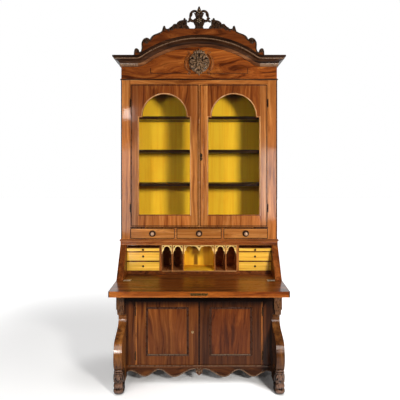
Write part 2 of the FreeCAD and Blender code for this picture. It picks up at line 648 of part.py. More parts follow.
def pierced(width, opening, holes, start):
    plate = face_of([(0, 0), (width, 0), (width, -62), (width - thin_foot, -62)] + opening
                    + [(thin_foot, -62), (0, -62)], arch_put(start))
    made = plate.extrude(Y * value("arch_board"))
    for hole in holes:
        made = made.cut(face_of(hole, arch_put(start)).extrude(Y * value("arch_board")))
    return made


def pigeonhole_arch(start):
    w = value("pigeonhole_width")
    opening = [(w - thin_foot * 1.2, -46, w * 0.79, -38), (w * 0.74, -18, w * 0.5, -8),
               (w * 0.26, -18, w * 0.21, -38), (thin_foot * 1.2, -46, thin_foot, -62)]
    corner = [(thin_foot, -4), (w * 0.34, -4), (w * 0.19, -12, thin_foot, -30)]
    other = [(w - x, z) if len(rest) == 0 else (w - x, z, w - rest[0], rest[1]) for x, z, *rest in corner]
    return pierced(w, opening, [corner, other], start)


def niche_arch():
    w = value("niche_width")
    m, u = w / 2, w / 226
    half_way = [(w - thin_foot * 1.2, -46, w - 16 * u, -38), (w - 20 * u, -16, m + 57 * u, -8),
                (m + 22 * u, -12, m + 9 * u, -26), (m + 5 * u, -34), (m, -44)]
    opening = half_way + [(m - 5 * u, -34), (m - 9 * u, -26), (m - 22 * u, -12, m - 57 * u, -8),
                          (20 * u, -16, 16 * u, -38), (thin_foot * 1.2, -46, thin_foot, -62)]
    corner = [(thin_foot, -4), (34 * u, -4), (16 * u, -12, thin_foot, -30)]
    other = [(w - thin_foot, -4), (w - 34 * u, -4), (w - 16 * u, -12, w - thin_foot, -30)]
    middle = [(m - 20 * u, -4), (m + 20 * u, -4), (m + 8 * u, -9, m, -24), (m - 8 * u, -9, m - 20 * u, -4)]
    return pierced(w, opening, [corner, other, middle], -m)


spans = [value("first_divider"), value("second_divider")]
arches = []
for number, start in enumerate(spans):
    piece = solid("pigeonhole_arch_%d" % number, pigeonhole_arch(start))
    arches += pair("pigeonhole_arch_%d" % number, piece)
node("pigeonhole_arches", group("pigeonhole_arches", arches))
node("niche_arch", solid("niche_arch", niche_arch()))


# Drawers: a front with sides, back and bottom, and a turned knob.
def drawer_boards(name, x, y, z, front, wall, low_side):
    """Boards of one drawer inside the bay given by x and z, from its face to its end along y."""
    left, right = x[0] + " + drawer_gap", x[1] + " - drawer_gap"
    foot_at, head_at = z[0] + " + drawer_gap", z[1] + " - drawer_gap"
    body = "%s + %s" % (y[0], front)
    inner = (left + " + " + wall, right + " - " + wall)
    floor = foot_at + " + " + wall
    depth, rise = (body, y[1]), (foot_at, head_at + low_side)
    return [
        board(name + "_front", (left, right), (y[0], body), (foot_at, head_at)),
        board(name + "_left", (left, inner[0]), depth, rise),
        board(name + "_right", (inner[1], right), depth, rise),
        board(name + "_bottom", inner, depth, (foot_at, floor)),
        board(name + "_back", inner, (y[1] + " - " + wall, y[1]), (floor, rise[1])),
    ]


def knob_shape(plate, length, ball):
    neck_radius = ball * 0.5
    middle = length - ball
    outline = [(0, 0), (plate, 0), (plate, length * 0.08),
               (plate * 0.82, length * 0.18, plate * 0.45, length * 0.22),
               (neck_radius, middle - math.sqrt(ball ** 2 - neck_radius ** 2)), (ball, middle, 0, length)]
    made = turned(outline)
    made.rotate(FreeCAD.Vector(0, 0, 0), X, 90)
    return made


big_knob = knob_shape(value("knob_plate / 2"), value("knob_length"), value("knob_plate * 0.3"))
little_knob = knob_shape(value("small_knob / 2"), value("small_knob * 0.9"), value("small_knob * 0.34"))
middle_half = "middle_drawer / 2"
for label, low_x, high_x in (
    ("left", "-opening_half", "-middle_drawer / 2 - partition"),
    ("middle", "-middle_drawer / 2", middle_half),
    ("right", middle_half + " + partition", "opening_half"),
):
    name = label + "_frieze_drawer"
    node(name, group(name, drawer_boards(
        name, (low_x, high_x), ("face", "face + drawer_depth"), ("drawer_foot", "drawer_head"),
        "drawer_front", "drawer_wall", " - drawer_wall")))
    knob_x, knob_z = value("(%s + %s) / 2" % (low_x, high_x)), value("drawer_foot + drawer_bay / 2")
    knob = placed(big_knob, knob_x, face, knob_z)
    node(label + "_frieze_knob", solid(label + "_frieze_knob", knob))
for label, sign in (("left", -1), ("right", 1)):
    x = ("bank_inner", "desk_inner") if sign > 0 else ("-desk_inner", "-bank_inner")
    for size, foot_at, head_at, proud in (
        ("low", "nook_foot", "low_runner", "0"), ("middle", "low_runner + runner", "mid_runner", "0"),
        ("thin", "mid_runner + runner", "thin_runner", "thin_drawer_proud"),
    ):
        name = "%s_%s_drawer" % (label, size)
        start = "nook_front - " + proud
        pieces = drawer_boards(name, x, (start, "nook_end - small_stop"), (foot_at, head_at),
                               "small_front", "small_wall", " - drawer_gap")
        spot = (value("(%s + %s) / 2" % x), value(start), value("(%s + %s) / 2" % (foot_at, head_at)))
        node(name, group(name, pieces + [solid(name + "_knob", placed(little_knob, *spot))]))

# Bookcase: sides with peg holes, boards, back, stiles, rails and drawer partitions.
shelf_feet = ["first_shelf", "first_shelf + shelf_pitch", "first_shelf + 2 * shelf_pitch"]
peg_radius = value("peg / 2")
pegs = []
for foot_at in shelf_feet:
    for y in ("face + shelf_setback + peg_inset", "inner_back - peg_inset"):
        at = FreeCAD.Vector(value("top_inner - peg_reach"), value(y), value(foot_at) - peg_radius)
        pegs.append(Part.makeCylinder(peg_radius, value("peg_length"), at, X))
right_pegs = solid("right_pegs", Part.makeCompound(pegs))
top_side = less("bookcase_side", board(
    "bookcase_side_plain", ("top_inner", "top_half"), ("face + face_frame", "back"),
    ("waist", "bookcase_head")), [right_pegs])
node("bookcase_sides", group("bookcase_sides", pair("bookcase_side", top_side)))
node("shelf_pegs", group("shelf_pegs", pair("shelf_pegs", right_pegs)))
between = ("-top_inner", "top_inner")
node("bookcase_boards", group("bookcase_boards", [
    board("bookcase_bottom", between, ("face + face_frame", "inner_back"), ("waist", "drawer_foot")),
    board("bookcase_floor_board", between, ("inside", "inner_back"),
          ("drawer_head", "drawer_head + bookcase_floor")),
    board("bookcase_top_board", between, ("inside", "inner_back"),
          ("bookcase_head - top_board", "bookcase_head")),
]))
node("bookcase_back", board("bookcase_back", between, ("inner_back", "back"), ("waist", "bookcase_head")))
across = ("-opening_half", "opening_half")
frame_depth = ("face", "face + face_frame")
top_stile = less("bookcase_stile", board(
    "bookcase_stile_plain", ("opening_half", "top_half"), frame_depth, ("waist", "bookcase_head")),
    [leaf_recess("bookcase_stile_recess_%d" % i, "opening_half", 1, "face", z)
     for i, z in enumerate(glazed_hinges)])
node("bookcase_face_frame", group("bookcase_face_frame", pair("bookcase_stile", top_stile) + [
    board("bookcase_bottom_rail", across, frame_depth, ("waist", "drawer_foot")),
    board("bookcase_middle_rail", across, frame_depth, ("drawer_head", "drawer_head + middle_rail")),
    board("bookcase_upper_rail", across, frame_depth, ("bookcase_head - upper_rail", "bookcase_head")),
]))
wall = board("drawer_partition", (middle_half, middle_half + " + partition"), ("face", "inner_back"),
             ("drawer_foot", "drawer_head"))
guide = board("drawer_guide", ("opening_half", "top_inner"), ("face + face_frame", "inner_back"),
              ("drawer_foot", "drawer_head"))
node("drawer_partitions", group(
    "drawer_partitions", pair("drawer_partition", wall) + pair("drawer_guide", guide)))
node("bookshelves", group("bookshelves", [board(
    label + "_shelf", ("-top_inner + drawer_gap", "top_inner - drawer_gap"),
    ("face + shelf_setback", "inner_back - drawer_gap"), (foot_at, foot_at + " + shelf"))
    for label, foot_at in zip(("lower", "middle", "upper"), shelf_feet)]))

# Glazed doors: stiles, bottom rail, arched head, glazing bead and pane.
door_rise = ("door_foot", "door_head")
arch_middle = "(pane_inner + pane_outer) / 2"


def arch_disc(name, radius, y):
    disc = doc.addObject("Part::Cylinder", name)
    disc.Placement = FreeCAD.Placement(FreeCAD.Vector(0, 0, 0), FreeCAD.Rotation(X, 90))
    disc.setExpression("Radius", ref(radius))
    disc.setExpression("Height", ref("(%s) - (%s)" % (y[1], y[0])))
    disc.setExpression("Placement.Base.x", ref(arch_middle))
    disc.setExpression("Placement.Base.y", ref(y[1]))
    disc.setExpression("Placement.Base.z", ref("shoulder"))
    return disc


def window(name, inset, y):
    """The shouldered arch of the pane, drawn in by an inset all round."""
    made = doc.addObject("Part::Fuse", name)
    made.Base = board(name + "_light", ("pane_inner + " + inset, "pane_outer - " + inset), y,
                      ("pane_foot + " + inset, "shoulder - " + inset))
    made.Tool = arch_disc(name + "_arch", "arch_radius - " + inset, y)
    made.Refine = True
    return made


outer = less("glazed_outer_stile", board(
    "glazed_outer_plain", ("pane_outer", "opening_half - door_gap"), frame_depth, door_rise),
    [leaf_recess("glazed_recess_%d" % i, "opening_half - door_gap", -1, "face", z)
     for i, z in enumerate(glazed_hinges)])
head = less("glazed_head", board(
    "glazed_head_plain", ("pane_inner", "pane_outer"), frame_depth, ("shoulder", "door_head")),
    [arch_disc("glazed_head_arch", "arch_radius", ("face - 1", "face + face_frame + 1"))])
bead_y = ("face + pane_depth - glazing_bead", "face + pane_depth")
bead = less("glazed_bead", window("bead_outside", "0", bead_y),
            [window("bead_inside", "glazing_bead", bead_y)])
frame = [
    board("glazed_meeting_stile", ("door_gap", "pane_inner"), frame_depth, door_rise), outer, head,
    board("glazed_foot_rail", ("pane_inner", "pane_outer"), frame_depth, ("door_foot", "pane_foot")), bead,
]
pane = window("right_glass", "0", ("face + pane_depth", "face + pane_depth + pane"))
node("right_glazed_door", group("right_glazed_door", frame))
node("left_glazed_door", group("left_glazed_door", [twin(p, "left_" + p.Name) for p in frame]))
node("right_glass", pane)
node("left_glass", twin(pane, "left_glass"))
plate_long, plate_wide = value("keyhole_plate / 2"), value("keyhole_plate * 0.19")
plate = value("plate_board")
plate_x, plate_z = value("door_gap + keyhole_inset"), value("door_foot + keyhole_height")


def plate_put(x, z):
    return FreeCAD.Vector(plate_x + x, face - plate, plate_z + z)


keyhole_face = face_of([
    (0, -plate_long), (plate_wide, -plate_long * 0.4, plate_wide * 0.6, 0),
    (plate_wide, plate_long * 0.5, 0, plate_long), (-plate_wide, plate_long * 0.5, -plate_wide * 0.6, 0),
    (-plate_wide, -plate_long * 0.4, 0, -plate_long)], plate_put)
keyhole = keyhole_face.extrude(Y * plate)
keyhole = keyhole.cut(Part.makeCylinder(plate_wide * 0.23, plate, plate_put(0, -plate_long * 0.15), Y))
node("left_door_hinges", solid("left_door_hinges", Part.makeCompound(glazed_left)))
node("right_door_fittings", solid("right_door_fittings", Part.makeCompound(glazed_right + [keyhole])))

# Cupboard doors: frame, panel, and a moulding round the panel.
door_depth = ("front", "front + cabinet_frame")
door_rise = ("cupboard_foot + door_gap", "cupboard_head - door_gap")
panel_x = ("door_gap + cupboard_stile", "cupboard_half - door_gap - cupboard_stile")
panel_z = ("cupboard_foot + door_gap + cupboard_foot_rail", "cupboard_head - door_gap - cupboard_head_rail")
outer = less("cupboard_outer_stile", board(
    "cupboard_outer_plain", (panel_x[1], "cupboard_half - door_gap"), door_depth, door_rise),
    [leaf_recess("cupboard_recess_%d" % i, "cupboard_half - door_gap", -1, "front", z)
     for i, z in enumerate(cupboard_hinges)])
frame = [
    board("cupboard_meeting_stile", ("door_gap", panel_x[0]), door_depth, door_rise), outer,
    board("cupboard_head_rail_piece", panel_x, door_depth, (panel_z[1], door_rise[1])),
    board("cupboard_foot_rail_piece", panel_x, door_depth, (door_rise[0], panel_z[0])),
]
moulding_y = ("front - moulding_proud", "front + panel_depth")
moulding = less("cupboard_moulding", board("moulding_outside", panel_x, moulding_y, panel_z), [board(
    "moulding_inside", (panel_x[0] + " + panel_moulding", panel_x[1] + " - panel_moulding"), moulding_y,
    (panel_z[0] + " + panel_moulding", panel_z[1] + " - panel_moulding"))])
field_y = ("front + panel_depth", "front + panel_depth + panel_board")
panel = [board("cupboard_field", panel_x, field_y, panel_z), moulding]
node("right_cupboard_door", group("right_cupboard_door", frame))
node("left_cupboard_door", group("left_cupboard_door", [twin(p, "left_" + p.Name) for p in frame]))
node("right_cupboard_panel", group("right_cupboard_panel", panel))
node("left_cupboard_panel", group("left_cupboard_panel", [twin(p, "left_" + p.Name) for p in panel]))
spot = FreeCAD.Vector(-value("small_plate_inset"), value("front - plate_board"),
                      value("cupboard_foot + small_plate_height"))
small_radius = value("small_plate / 2")
small_plate = Part.makeCylinder(small_radius, plate, spot, Y).cut(
    Part.makeCylinder(small_radius * 0.25, plate, spot, Y))
node("right_cupboard_hinges", solid("right_cupboard_hinges", Part.makeCompound(cupboard_right)))
node("left_cupboard_fittings", solid(
    "left_cupboard_fittings", Part.makeCompound(cupboard_left + [small_plate])))

# Arched line of the cornice: level ends, a hollow turn, then the round of the arch.
rise, run, hollow = value("arch_rise"), value("arch_run"), value("cornice_hollow")
level = value("cornice_foot")
radius = (run ** 2 + rise ** 2) / (2 * rise) - hollow
arch_centre = level + rise - radius


def turn_point(offset):
    share = (radius + offset) / (radius + hollow)
    return run * share, arch_centre + (level + hollow - arch_centre) * share


def hollow_middle(offset):
    x, z = turn_point(offset)
    dx, dz = (x - run) / (hollow - offset), (z - level - hollow) / (hollow - offset) - 1
    size = math.hypot(dx, dz)
    return run + dx / size * (hollow - offset), level + hollow + dz / size * (hollow - offset)


def arch_height(x, offset):
    x = abs(x)
    if x >= run:
        return level + offset
    if x > turn_point(offset)[0]:
        return level + hollow - math.sqrt((hollow - offset) ** 2 - (x - run) ** 2)
    return arch_centre + math.sqrt((radius + offset) ** 2 - x ** 2)


def arched_line(offset, end):
    """Steps from the left end of the line to the right end."""
    x, z = turn_point(offset)
    mx, mz = hollow_middle(offset)
    return [(-end, level + offset), (-run, level + offset), (-mx, mz, -x, z),
            (0, arch_centre + radius + offset, x, z), (mx, mz, run, level + offset), (end, level + offset)]


# Hood: pediment board, sides, dust board and back behind the cornice.
end, tall = value("top_half"), value("cornice_height")
pediment = face_of([(end, value("bookcase_head")), (-end, value("bookcase_head"))] + arched_line(tall, end),
                   lambda x, z: FreeCAD.Vector(x, face, z)).extrude(Y * value("pediment_board"))
node("pediment_board", solid("pediment_board_piece", pediment))
hood_side = board("hood_side", ("top_inner", "top_half"), ("face + pediment_board", "back"),
                  ("bookcase_head", "cornice_head"))
node("hood_boards", group("hood_boards", pair("hood_side", hood_side) + [
    board("dust_board", ("-top_inner", "top_inner"), ("face + pediment_board", "back"),
          ("cornice_head - top_board", "cornice_head")),
    board("hood_back", ("-top_inner", "top_inner"), ("inner_back", "back"),
          ("bookcase_head", "cornice_head - top_board")),
]))


# Mouldings run across the front and back along both sides, mitred at the corners.
def mitred(profile, foot_at, reach, front_run=None):
    high = value("cornice_height + 2 * arch_rise")
    corner = reach + 5
    plan_front = [(-end, face), (end, face), (end + corner, face - corner), (-end - corner, face - corner)]
    plan_side = [(end, face), (end + corner, face - corner), (end + corner, back), (end, back)]
    if front_run is None:
        front_face = face_of(profile, lambda out, up: FreeCAD.Vector(-end - corner, face - out, foot_at + up))
        front_run = front_face.extrude(X * 2 * (end + corner))
    side_face = face_of(profile, lambda out, up: FreeCAD.Vector(end + out, face - corner, foot_at + up))
    side_run = side_face.extrude(Y * (back - face + corner))
    front_cell, side_cell = [
        face_of(plan, lambda x, y: FreeCAD.Vector(x, y, foot_at - 1)).extrude(Z * high)
        for plan in (plan_front, plan_side)]
    front_piece = front_run.common(front_cell).removeSplitter()
    side_piece = side_run.common(side_cell).removeSplitter()
    left_piece = side_piece.mirror(FreeCAD.Vector(0, 0, 0), X)
    return Part.makeCompound([s for p in (front_piece, side_piece, left_piece) for s in p.Solids])


def rounded(height, out):
    return [(0, 0), (out * 0.55, 0), (out, height * 0.45, out * 0.55, height * 0.86), (out * 0.4, height),
            (0, height)]


node("waist_moulding", solid("waist_moulding", mitred(
    rounded(value("waist_height"), value("waist_proud")), value("waist"), value("waist_proud"))))
node("pediment_bead", solid("pediment_bead_piece", mitred(
    rounded(value("pediment_bead"), value("bead_proud")), value("bookcase_head"), value("bead_proud"))))

# Cornice: fillet, cove, groove, bead and square top, run along the arched line.
out = value("cornice_reach")
profile = [(0, 0), (out * 0.16, 0), (out * 0.16, tall * 0.09),
           (out * 0.27, tall * 0.42, out * 0.68, tall * 0.6), (out * 0.68, tall * 0.65),
           (out * 0.77, tall * 0.65), (out * 0.87, tall * 0.71, out * 0.8, tall * 0.77),
           (out * 0.93, tall * 0.8), (out, tall * 0.84), (out, tall * 0.97), (out * 0.97, tall), (0, tall)]
reach = end + out + 5
line = Part.Wire(edges(arched_line(0, reach), lambda x, z: FreeCAD.Vector(x, face, z)))
section = Part.Wire(edges(profile + [profile[0]], lambda a, up: FreeCAD.Vector(-reach, face - a, level + up)))
swept = line.makePipeShell([section], True, False)
node("cornice", solid("cornice_piece", mitred(profile, level, out, swept)))

# Crest: a fretted board on the cornice, drawn as heights above the line it stands on.
wide, high = value("crest_half") / 470, value("crest_height") / 114
crest_y = value("face - crest_reach")
gap_half = 88 * wide
middle_top = arch_height(gap_half, tall) + 52 * high


def crest_put(x, z):
    return FreeCAD.Vector(x, crest_y, z)


def above(points):
    return [(x * wide, arch_height(x * wide, tall) + h * high) for x, h in points]


lobes = [
    [(-469, 24), (-459, 46), (-447, 38), (-444, 16)],
    [(-428, 8), (-414, 32), (-415, 64), (-402, 84), (-385, 83), (-367, 66), (-358, 48)],
    [(-352, 60), (-338, 72), (-310, 73), (-272, 74)], [(-263, 88), (-254, 109), (-246, 88), (-238, 81)],
    [(-214, 78), (-190, 92), (-173, 97), (-161, 91)], [(-154, 107), (-137, 114), (-112, 114)],
    [(-109, 122), (-106, 131), (-103, 122), (-99, 114)],
]
crest_left = [above(lobe) for lobe in lobes]
start = (-470 * wide, level + tall)
inner_top = arch_height(gap_half, tall) + 113 * high
turn_in, turn_up = 20 * wide, 32 * high
left_turn = [(-gap_half + turn_in * 0.25, middle_top + turn_up * 0.33), (-gap_half + turn_in, middle_top)]
right_turn = [(-left_turn[0][0], left_turn[0][1]), (gap_half, middle_top + turn_up)]
crest_points = [start] + crest_left + [
    (-gap_half, inner_top), (-gap_half, middle_top + turn_up), left_turn,
    (-left_turn[1][0], middle_top), right_turn, (gap_half, inner_top)]
previous = [start] + [lobe[-1] for lobe in crest_left]
crest_points.append((-crest_left[-1][-1][0], crest_left[-1][-1][1]))
for number in range(len(crest_left) - 1, -1, -1):
    lobe = [previous[number]] + crest_left[number]
    crest_points.append([(-x, z) for x, z in reversed(lobe[:-1])])
foot_line = arched_line(tall, value("crest_half"))
back_line = [foot_line[-1], (run, level + tall), (*hollow_middle(tall), *turn_point(tall)),
             (0, arch_centre + radius + tall, -turn_point(tall)[0], turn_point(tall)[1]),
             (-hollow_middle(tall)[0], hollow_middle(tall)[1], -run, level + tall)]
crest = face_of(crest_points + back_line[1:], crest_put)
node("crest_panel", solid("crest_panel", crest.extrude(Y * value("crest_board"))))

# Pierced carving in the middle of the crest: an urn between two ears on a bar.
ux, uz = value("urn_half") / 70, value("urn_height") / 164


def urn_put(x, z):
    return FreeCAD.Vector(x * ux, crest_y, middle_top + z * uz)


urn_right = [(31, 0), [(34, 24), (41, 58)], (41, 66), [(31, 72), (26, 84), (26, 122)], [(20, 138), (13, 147)],
             [(8, 156), (0, 164)]]
urn = face_of([(0, 0)] + urn_right, urn_put)
ear = face_of([(69, 52), (64, 112, 22, 143), (22, 122), (50, 106, 57, 66), (40, 66), (40, 52)], urn_put)
bar_end = gap_half / ux
bar = face_of([(40, 52), (bar_end, 52), (bar_end, 65), (40, 65)], urn_put)
half_carving = [f.extrude(Y * value("crest_board")) for f in (urn, ear, bar)]
other_half = [s.mirror(FreeCAD.Vector(0, 0, 0), X) for s in half_carving]
carving = half_carving[0].fuse(half_carving[1:] + other_half).removeSplitter()
node("crest_carving", solid("crest_carving", carving))


# Cartouche: a low carved oval on the pediment with a raised boss.
def boss(name, half_x, half_z, proud):
    made = doc.addObject("Part::Ellipsoid", name)
    made.setExpression("Radius1", ref(half_z))
    made.setExpression("Radius2", ref(half_x))
    made.setExpression("Radius3", ref(proud))
    made.setExpression("Placement.Base.y", ref("face"))
    made.setExpression("Placement.Base.z", ref("bookcase_head + cartouche_rise"))
    return made


whole = doc.addObject("Part::Fuse", "cartouche_whole")
whole.Base = boss("cartouche_plate", "cartouche_half", "cartouche_height / 2", "cartouche_proud * 0.6")
whole.Tool = boss("cartouche_boss", "cartouche_half * 0.62", "cartouche_height * 0.34", "cartouche_proud")
node("cartouche", less("cartouche", whole, [board(
    "cartouche_behind", ("-2 * cartouche_half", "2 * cartouche_half"), ("face", "face + 3 * cartouche_proud"),
    ("bookcase_head", "cornice_head + 2 * cartouche_height"))]))

doc.recompute()
for made in doc.Objects:
    if "Invalid" in made.State or "Error" in made.State:
        raise RuntimeError("not built: " + made.Name)
os.makedirs("parts", exist_ok=True)
for made in nodes:
    shape = made.Shape
    if shape.isNull() or not shape.isValid() or not shape.Solids:
        raise RuntimeError("not a sound solid: " + made.Label)
    if min(s.Volume for s in shape.Solids) <= 0:
        raise RuntimeError("empty solid: " + made.Label)
    shape.exportStep("parts/%s.step" % made.Label)
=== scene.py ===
import math

import bmesh
import bpy
from mathutils import Matrix, Vector


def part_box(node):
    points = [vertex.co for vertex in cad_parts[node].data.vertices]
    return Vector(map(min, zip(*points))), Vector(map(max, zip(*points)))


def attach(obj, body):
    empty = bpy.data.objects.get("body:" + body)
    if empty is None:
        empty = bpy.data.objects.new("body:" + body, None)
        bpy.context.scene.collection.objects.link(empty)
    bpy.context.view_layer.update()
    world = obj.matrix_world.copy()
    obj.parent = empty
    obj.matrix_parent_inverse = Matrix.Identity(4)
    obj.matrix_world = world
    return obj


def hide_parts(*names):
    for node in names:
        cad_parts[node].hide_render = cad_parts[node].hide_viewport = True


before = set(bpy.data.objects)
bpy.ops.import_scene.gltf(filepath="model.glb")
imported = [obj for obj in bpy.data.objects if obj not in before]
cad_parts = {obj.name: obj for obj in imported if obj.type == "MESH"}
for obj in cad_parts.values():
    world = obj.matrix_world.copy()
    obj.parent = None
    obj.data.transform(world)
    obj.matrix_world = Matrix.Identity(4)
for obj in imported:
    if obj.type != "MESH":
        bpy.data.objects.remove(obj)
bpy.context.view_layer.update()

# Cabinet sides: two wide rosewood boards with the grain upright, glued between the corner stiles and the
# back. Wax and handling leave them glossy, dark in the pores and paler along the rubbed edges.
GRAIN_UP = (0.0, 0.0, 0.0)
GRAIN_ACROSS = (0.0, -math.pi / 2, 0.0)
GRAIN_BACK = (math.pi / 2, 0.0, 0.0)


def tint(red, green, blue):
    """A colour from its screen values, 0 to 255."""
    return tuple(((part / 255 + 0.055) / 1.055) ** 2.4 for part in (red, green, blue)) + (1.0,)


def feed(node, feeds):
    """Set inputs of a shader node, each to a plain value or to the socket that it comes from."""
    for socket, source in feeds.items():
        if isinstance(source, bpy.types.NodeSocket):
            node.id_data.links.new(source, node.inputs[socket])
        else:
            node.inputs[socket].default_value = source


def put(tree, kind, feeds=None, **settings):
    """Add a shader node with its settings and feeds."""
    made = tree.nodes.new("ShaderNode" + kind)
    for name, setting in settings.items():
        setattr(made, name, setting)
    feed(made, feeds or {})
    return made


def new_group(name, inputs, outputs):
    """Start a node group; gives its tree, the sockets that feed it and the node that it fills."""
    tree = bpy.data.node_groups.new(name, "ShaderNodeTree")
    for way, sockets in (("INPUT", inputs), ("OUTPUT", outputs)):
        for socket, kind in sockets.items():
            tree.interface.new_socket(socket, in_out=way, socket_type="NodeSocket" + kind)
    return tree, tree.nodes.new("NodeGroupInput").outputs, tree.nodes.new("NodeGroupOutput")


def home(*values):
    """The node tree of the first socket among some values."""
    return next(value.id_data for value in values if isinstance(value, bpy.types.NodeSocket))


def maths(way, *values):
    """Reckon with one or two numbers."""
    return put(home(*values), "Math", dict(enumerate(values)), operation=way).outputs[0]


def vectors(way, one, other):
    """Reckon with two places or directions."""
    return put(home(one), "VectorMath", {0: one, 1: other}, operation=way).outputs


def cloud(place, waves, detail=3.0, rough=0.55, give="Fac"):
    """Soft noise with so many waves to the metre along each axis."""
    spread = vectors("MULTIPLY", place, waves)["Vector"]
    feeds = {"Vector": spread, "Scale": 1.0, "Detail": detail, "Roughness": rough}
    return put(home(place), "TexNoise", feeds).outputs[give]


def ease(value, low, high, start=0.0, end=1.0):
    """Take a value smoothly from start to end as it goes from low to high."""
    feeds = {"Value": value, "From Min": low, "From Max": high, "To Min": start, "To Max": end}
    return put(home(value), "MapRange", feeds, interpolation_type="SMOOTHSTEP").outputs[0]


def times(one, other):
    """One value times another."""
    return maths("MULTIPLY", one, other)


def lay(amount, under, over, way="MIX"):
    """Lay one colour over another."""
    feeds = {0: amount, 6: under, 7: over}
    return put(home(amount, under, over), "Mix", feeds, data_type="RGBA", blend_type=way).outputs[2]


wood, given, gives = new_group(
    "figured wood",
    {"Place": "Vector", "Dark": "Color", "Middle": "Color", "Light": "Color", "Swirl": "Float",
     "Streak": "Float"},
    {"Colour": "Color", "Roughness": "Float", "Height": "Float"})
drift = cloud(given["Place"], (2.6, 2.6, 1.3), 2.0, give="Color")
drift = vectors("SUBTRACT", drift, (0.5, 0.5, 0.5))["Vector"]
drift = put(wood, "VectorMath", {0: drift, "Scale": given["Swirl"]}, operation="SCALE").outputs[0]
grown = vectors("ADD", given["Place"], drift)["Vector"]
rings = cloud(grown, (26.0, 26.0, 1.1), 5.0, 0.6)
threads = cloud(grown, (120.0, 120.0, 2.4))
pores = ease(cloud(given["Place"], (800.0, 800.0, 26.0), 1.0), 0.4, 0.3)
patches = ease(cloud(given["Place"], (3.2, 3.2, 1.5), 1.0), 0.3, 0.7, 0.8, 1.2)
colour = lay(ease(rings, 0.34, 0.5), given["Dark"], given["Middle"])
colour = lay(ease(rings, 0.5, 0.68), colour, given["Light"])
colour = lay(times(given["Streak"], ease(threads, 0.48, 0.68)), colour, given["Dark"])
colour = lay(times(pores, 0.35), colour, given["Dark"], "MULTIPLY")
colour = lay(1.0, colour, patches, "MULTIPLY")
feed(gives, {"Colour": colour, "Roughness": ease(threads, 0.3, 0.7, 0.26, 0.38),
             "Height": maths("SUBTRACT", threads, pores)})

rubbed, given, gives = new_group(
    "rubbed edge", {"Place": "Vector", "Reach": "Float"}, {"Wear": "Float", "Normal": "Vector"})
rounded = put(rubbed, "Bevel", {"Radius": given["Reach"]}, samples=4).outputs[0]
face = put(rubbed, "NewGeometry").outputs["Normal"]
alike = vectors("DOT_PRODUCT", rounded, face)["Value"]
scuffs = ease(cloud(given["Place"], (60.0, 60.0, 60.0)), 0.35, 0.65)
feed(gives, {"Wear": times(ease(alike, 0.99, 0.8), scuffs), "Normal": rounded})


def new_finish(name):
    """Start a material; gives it with its node tree and the place on the solid."""
    finish = bpy.data.materials.new(name)
    finish.use_nodes = True
    tree = finish.node_tree
    return finish, tree, put(tree, "TexCoord").outputs["Object"]


def set_finish(finish, feeds):
    """Feed the shader of a material."""
    feed(finish.node_tree.nodes["Principled BSDF"], feeds)


def polished(name, grain, dark, middle, light, swirl=0.2, streak=0.45, coat=0.3, haze=0.14, wear=0.5,
             fine=1.0):
    """A polished wood with its grain along one way; fine packs the grain closer, haze dulls the coat."""
    finish, tree, place = new_finish(name)
    light = tint(*light)
    along = put(tree, "Mapping", {"Vector": place, "Rotation": grain}).outputs[0]
    along = vectors("MULTIPLY", along, (fine, fine, 1.0))["Vector"]
    feeds = {"Place": along, "Dark": tint(*dark), "Middle": tint(*middle), "Light": light, "Swirl": swirl,
             "Streak": streak}
    grown_wood = put(tree, "Group", feeds, node_tree=wood).outputs
    edge = put(tree, "Group", {"Place": place, "Reach": 0.003}, node_tree=rubbed).outputs
    wear_and_sheen = times(edge["Wear"], wear)
    bump = {"Strength": 0.2, "Distance": 0.0008, "Height": grown_wood["Height"], "Normal": edge["Normal"]}
    set_finish(finish, {
        "Base Color": lay(wear_and_sheen, grown_wood["Colour"], light), "Roughness": grown_wood["Roughness"],
        "Normal": put(tree, "Bump", bump).outputs[0], "Specular IOR Level": 0.08,
        "Coat Weight": coat, "Coat Roughness": haze})
    return finish


def dress(names, *finishes, choose=None):
    """Give solids their finishes; choose picks one for a face from its middle and its outward direction."""
    for name in names.split():
        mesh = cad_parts[name].data
        mesh.materials.clear()
        for finish in finishes:
            mesh.materials.append(finish)
        for side in mesh.polygons:
            side.material_index = int(choose(side.center, side.normal)) if choose else 0


cabinet_upright = polished("cabinet rosewood upright", GRAIN_UP, (64, 31, 13), (112, 60, 26), (147, 86, 42),
                           swirl=0.12, fine=1.8)
cabinet_across = polished("cabinet rosewood across", GRAIN_ACROSS, (53, 26, 12), (96, 51, 24), (129, 75, 38))
dress("cabinet_sides", cabinet_upright)

# Hidden carcass boards: sawn pine floor, top, shelf, backs and dust boards, nailed and left bare. The backs
# are upright planks, browned by age, with a dark joint between planks. The rear feet match the sides.
PLANK, PLANK_JOINT = 0.135, (0.003, 0.0015)


def where_on(finish):
    """Sockets that tell where a point of a finish lies."""
    place = put(finish.node_tree, "TexCoord").outputs["Object"]
    parts = put(finish.node_tree, "SeparateXYZ", {0: place}).outputs
    return {"Place": place, "X": parts["X"], "Y": parts["Y"], "Z": parts["Z"]}


def discolour(finish, over, *amounts):
    """Lay a colour over a finish, by as much as some amounts multiply to."""
    amount = amounts[0]
    for other in amounts[1:]:
        amount = times(amount, other)
    under = finish.node_tree.nodes["Principled BSDF"].inputs["Base Color"].links[0].from_socket
    set_finish(finish, {"Base Color": lay(amount, under, over)})


def bare_pine(name, grain, planks=0.0):
    """Dry, unpolished pine; planks is the strength of the dark joints between upright planks."""
    finish = polished(name, grain, (92, 58, 30), (140, 98, 58), (170, 126, 80), swirl=0.12, streak=0.4,
                      coat=0.0, haze=0.5, wear=0.3)
    where = where_on(finish)
    wave = maths("PINGPONG", where["X"], PLANK)
    discolour(finish, tint(30, 18, 10), ease(wave, *PLANK_JOINT), planks)
    dry = cloud(where["Place"], (30.0, 30.0, 30.0))
    set_finish(finish, {"Roughness": ease(dry, 0.3, 0.7, 0.6, 0.8)})
    return finish


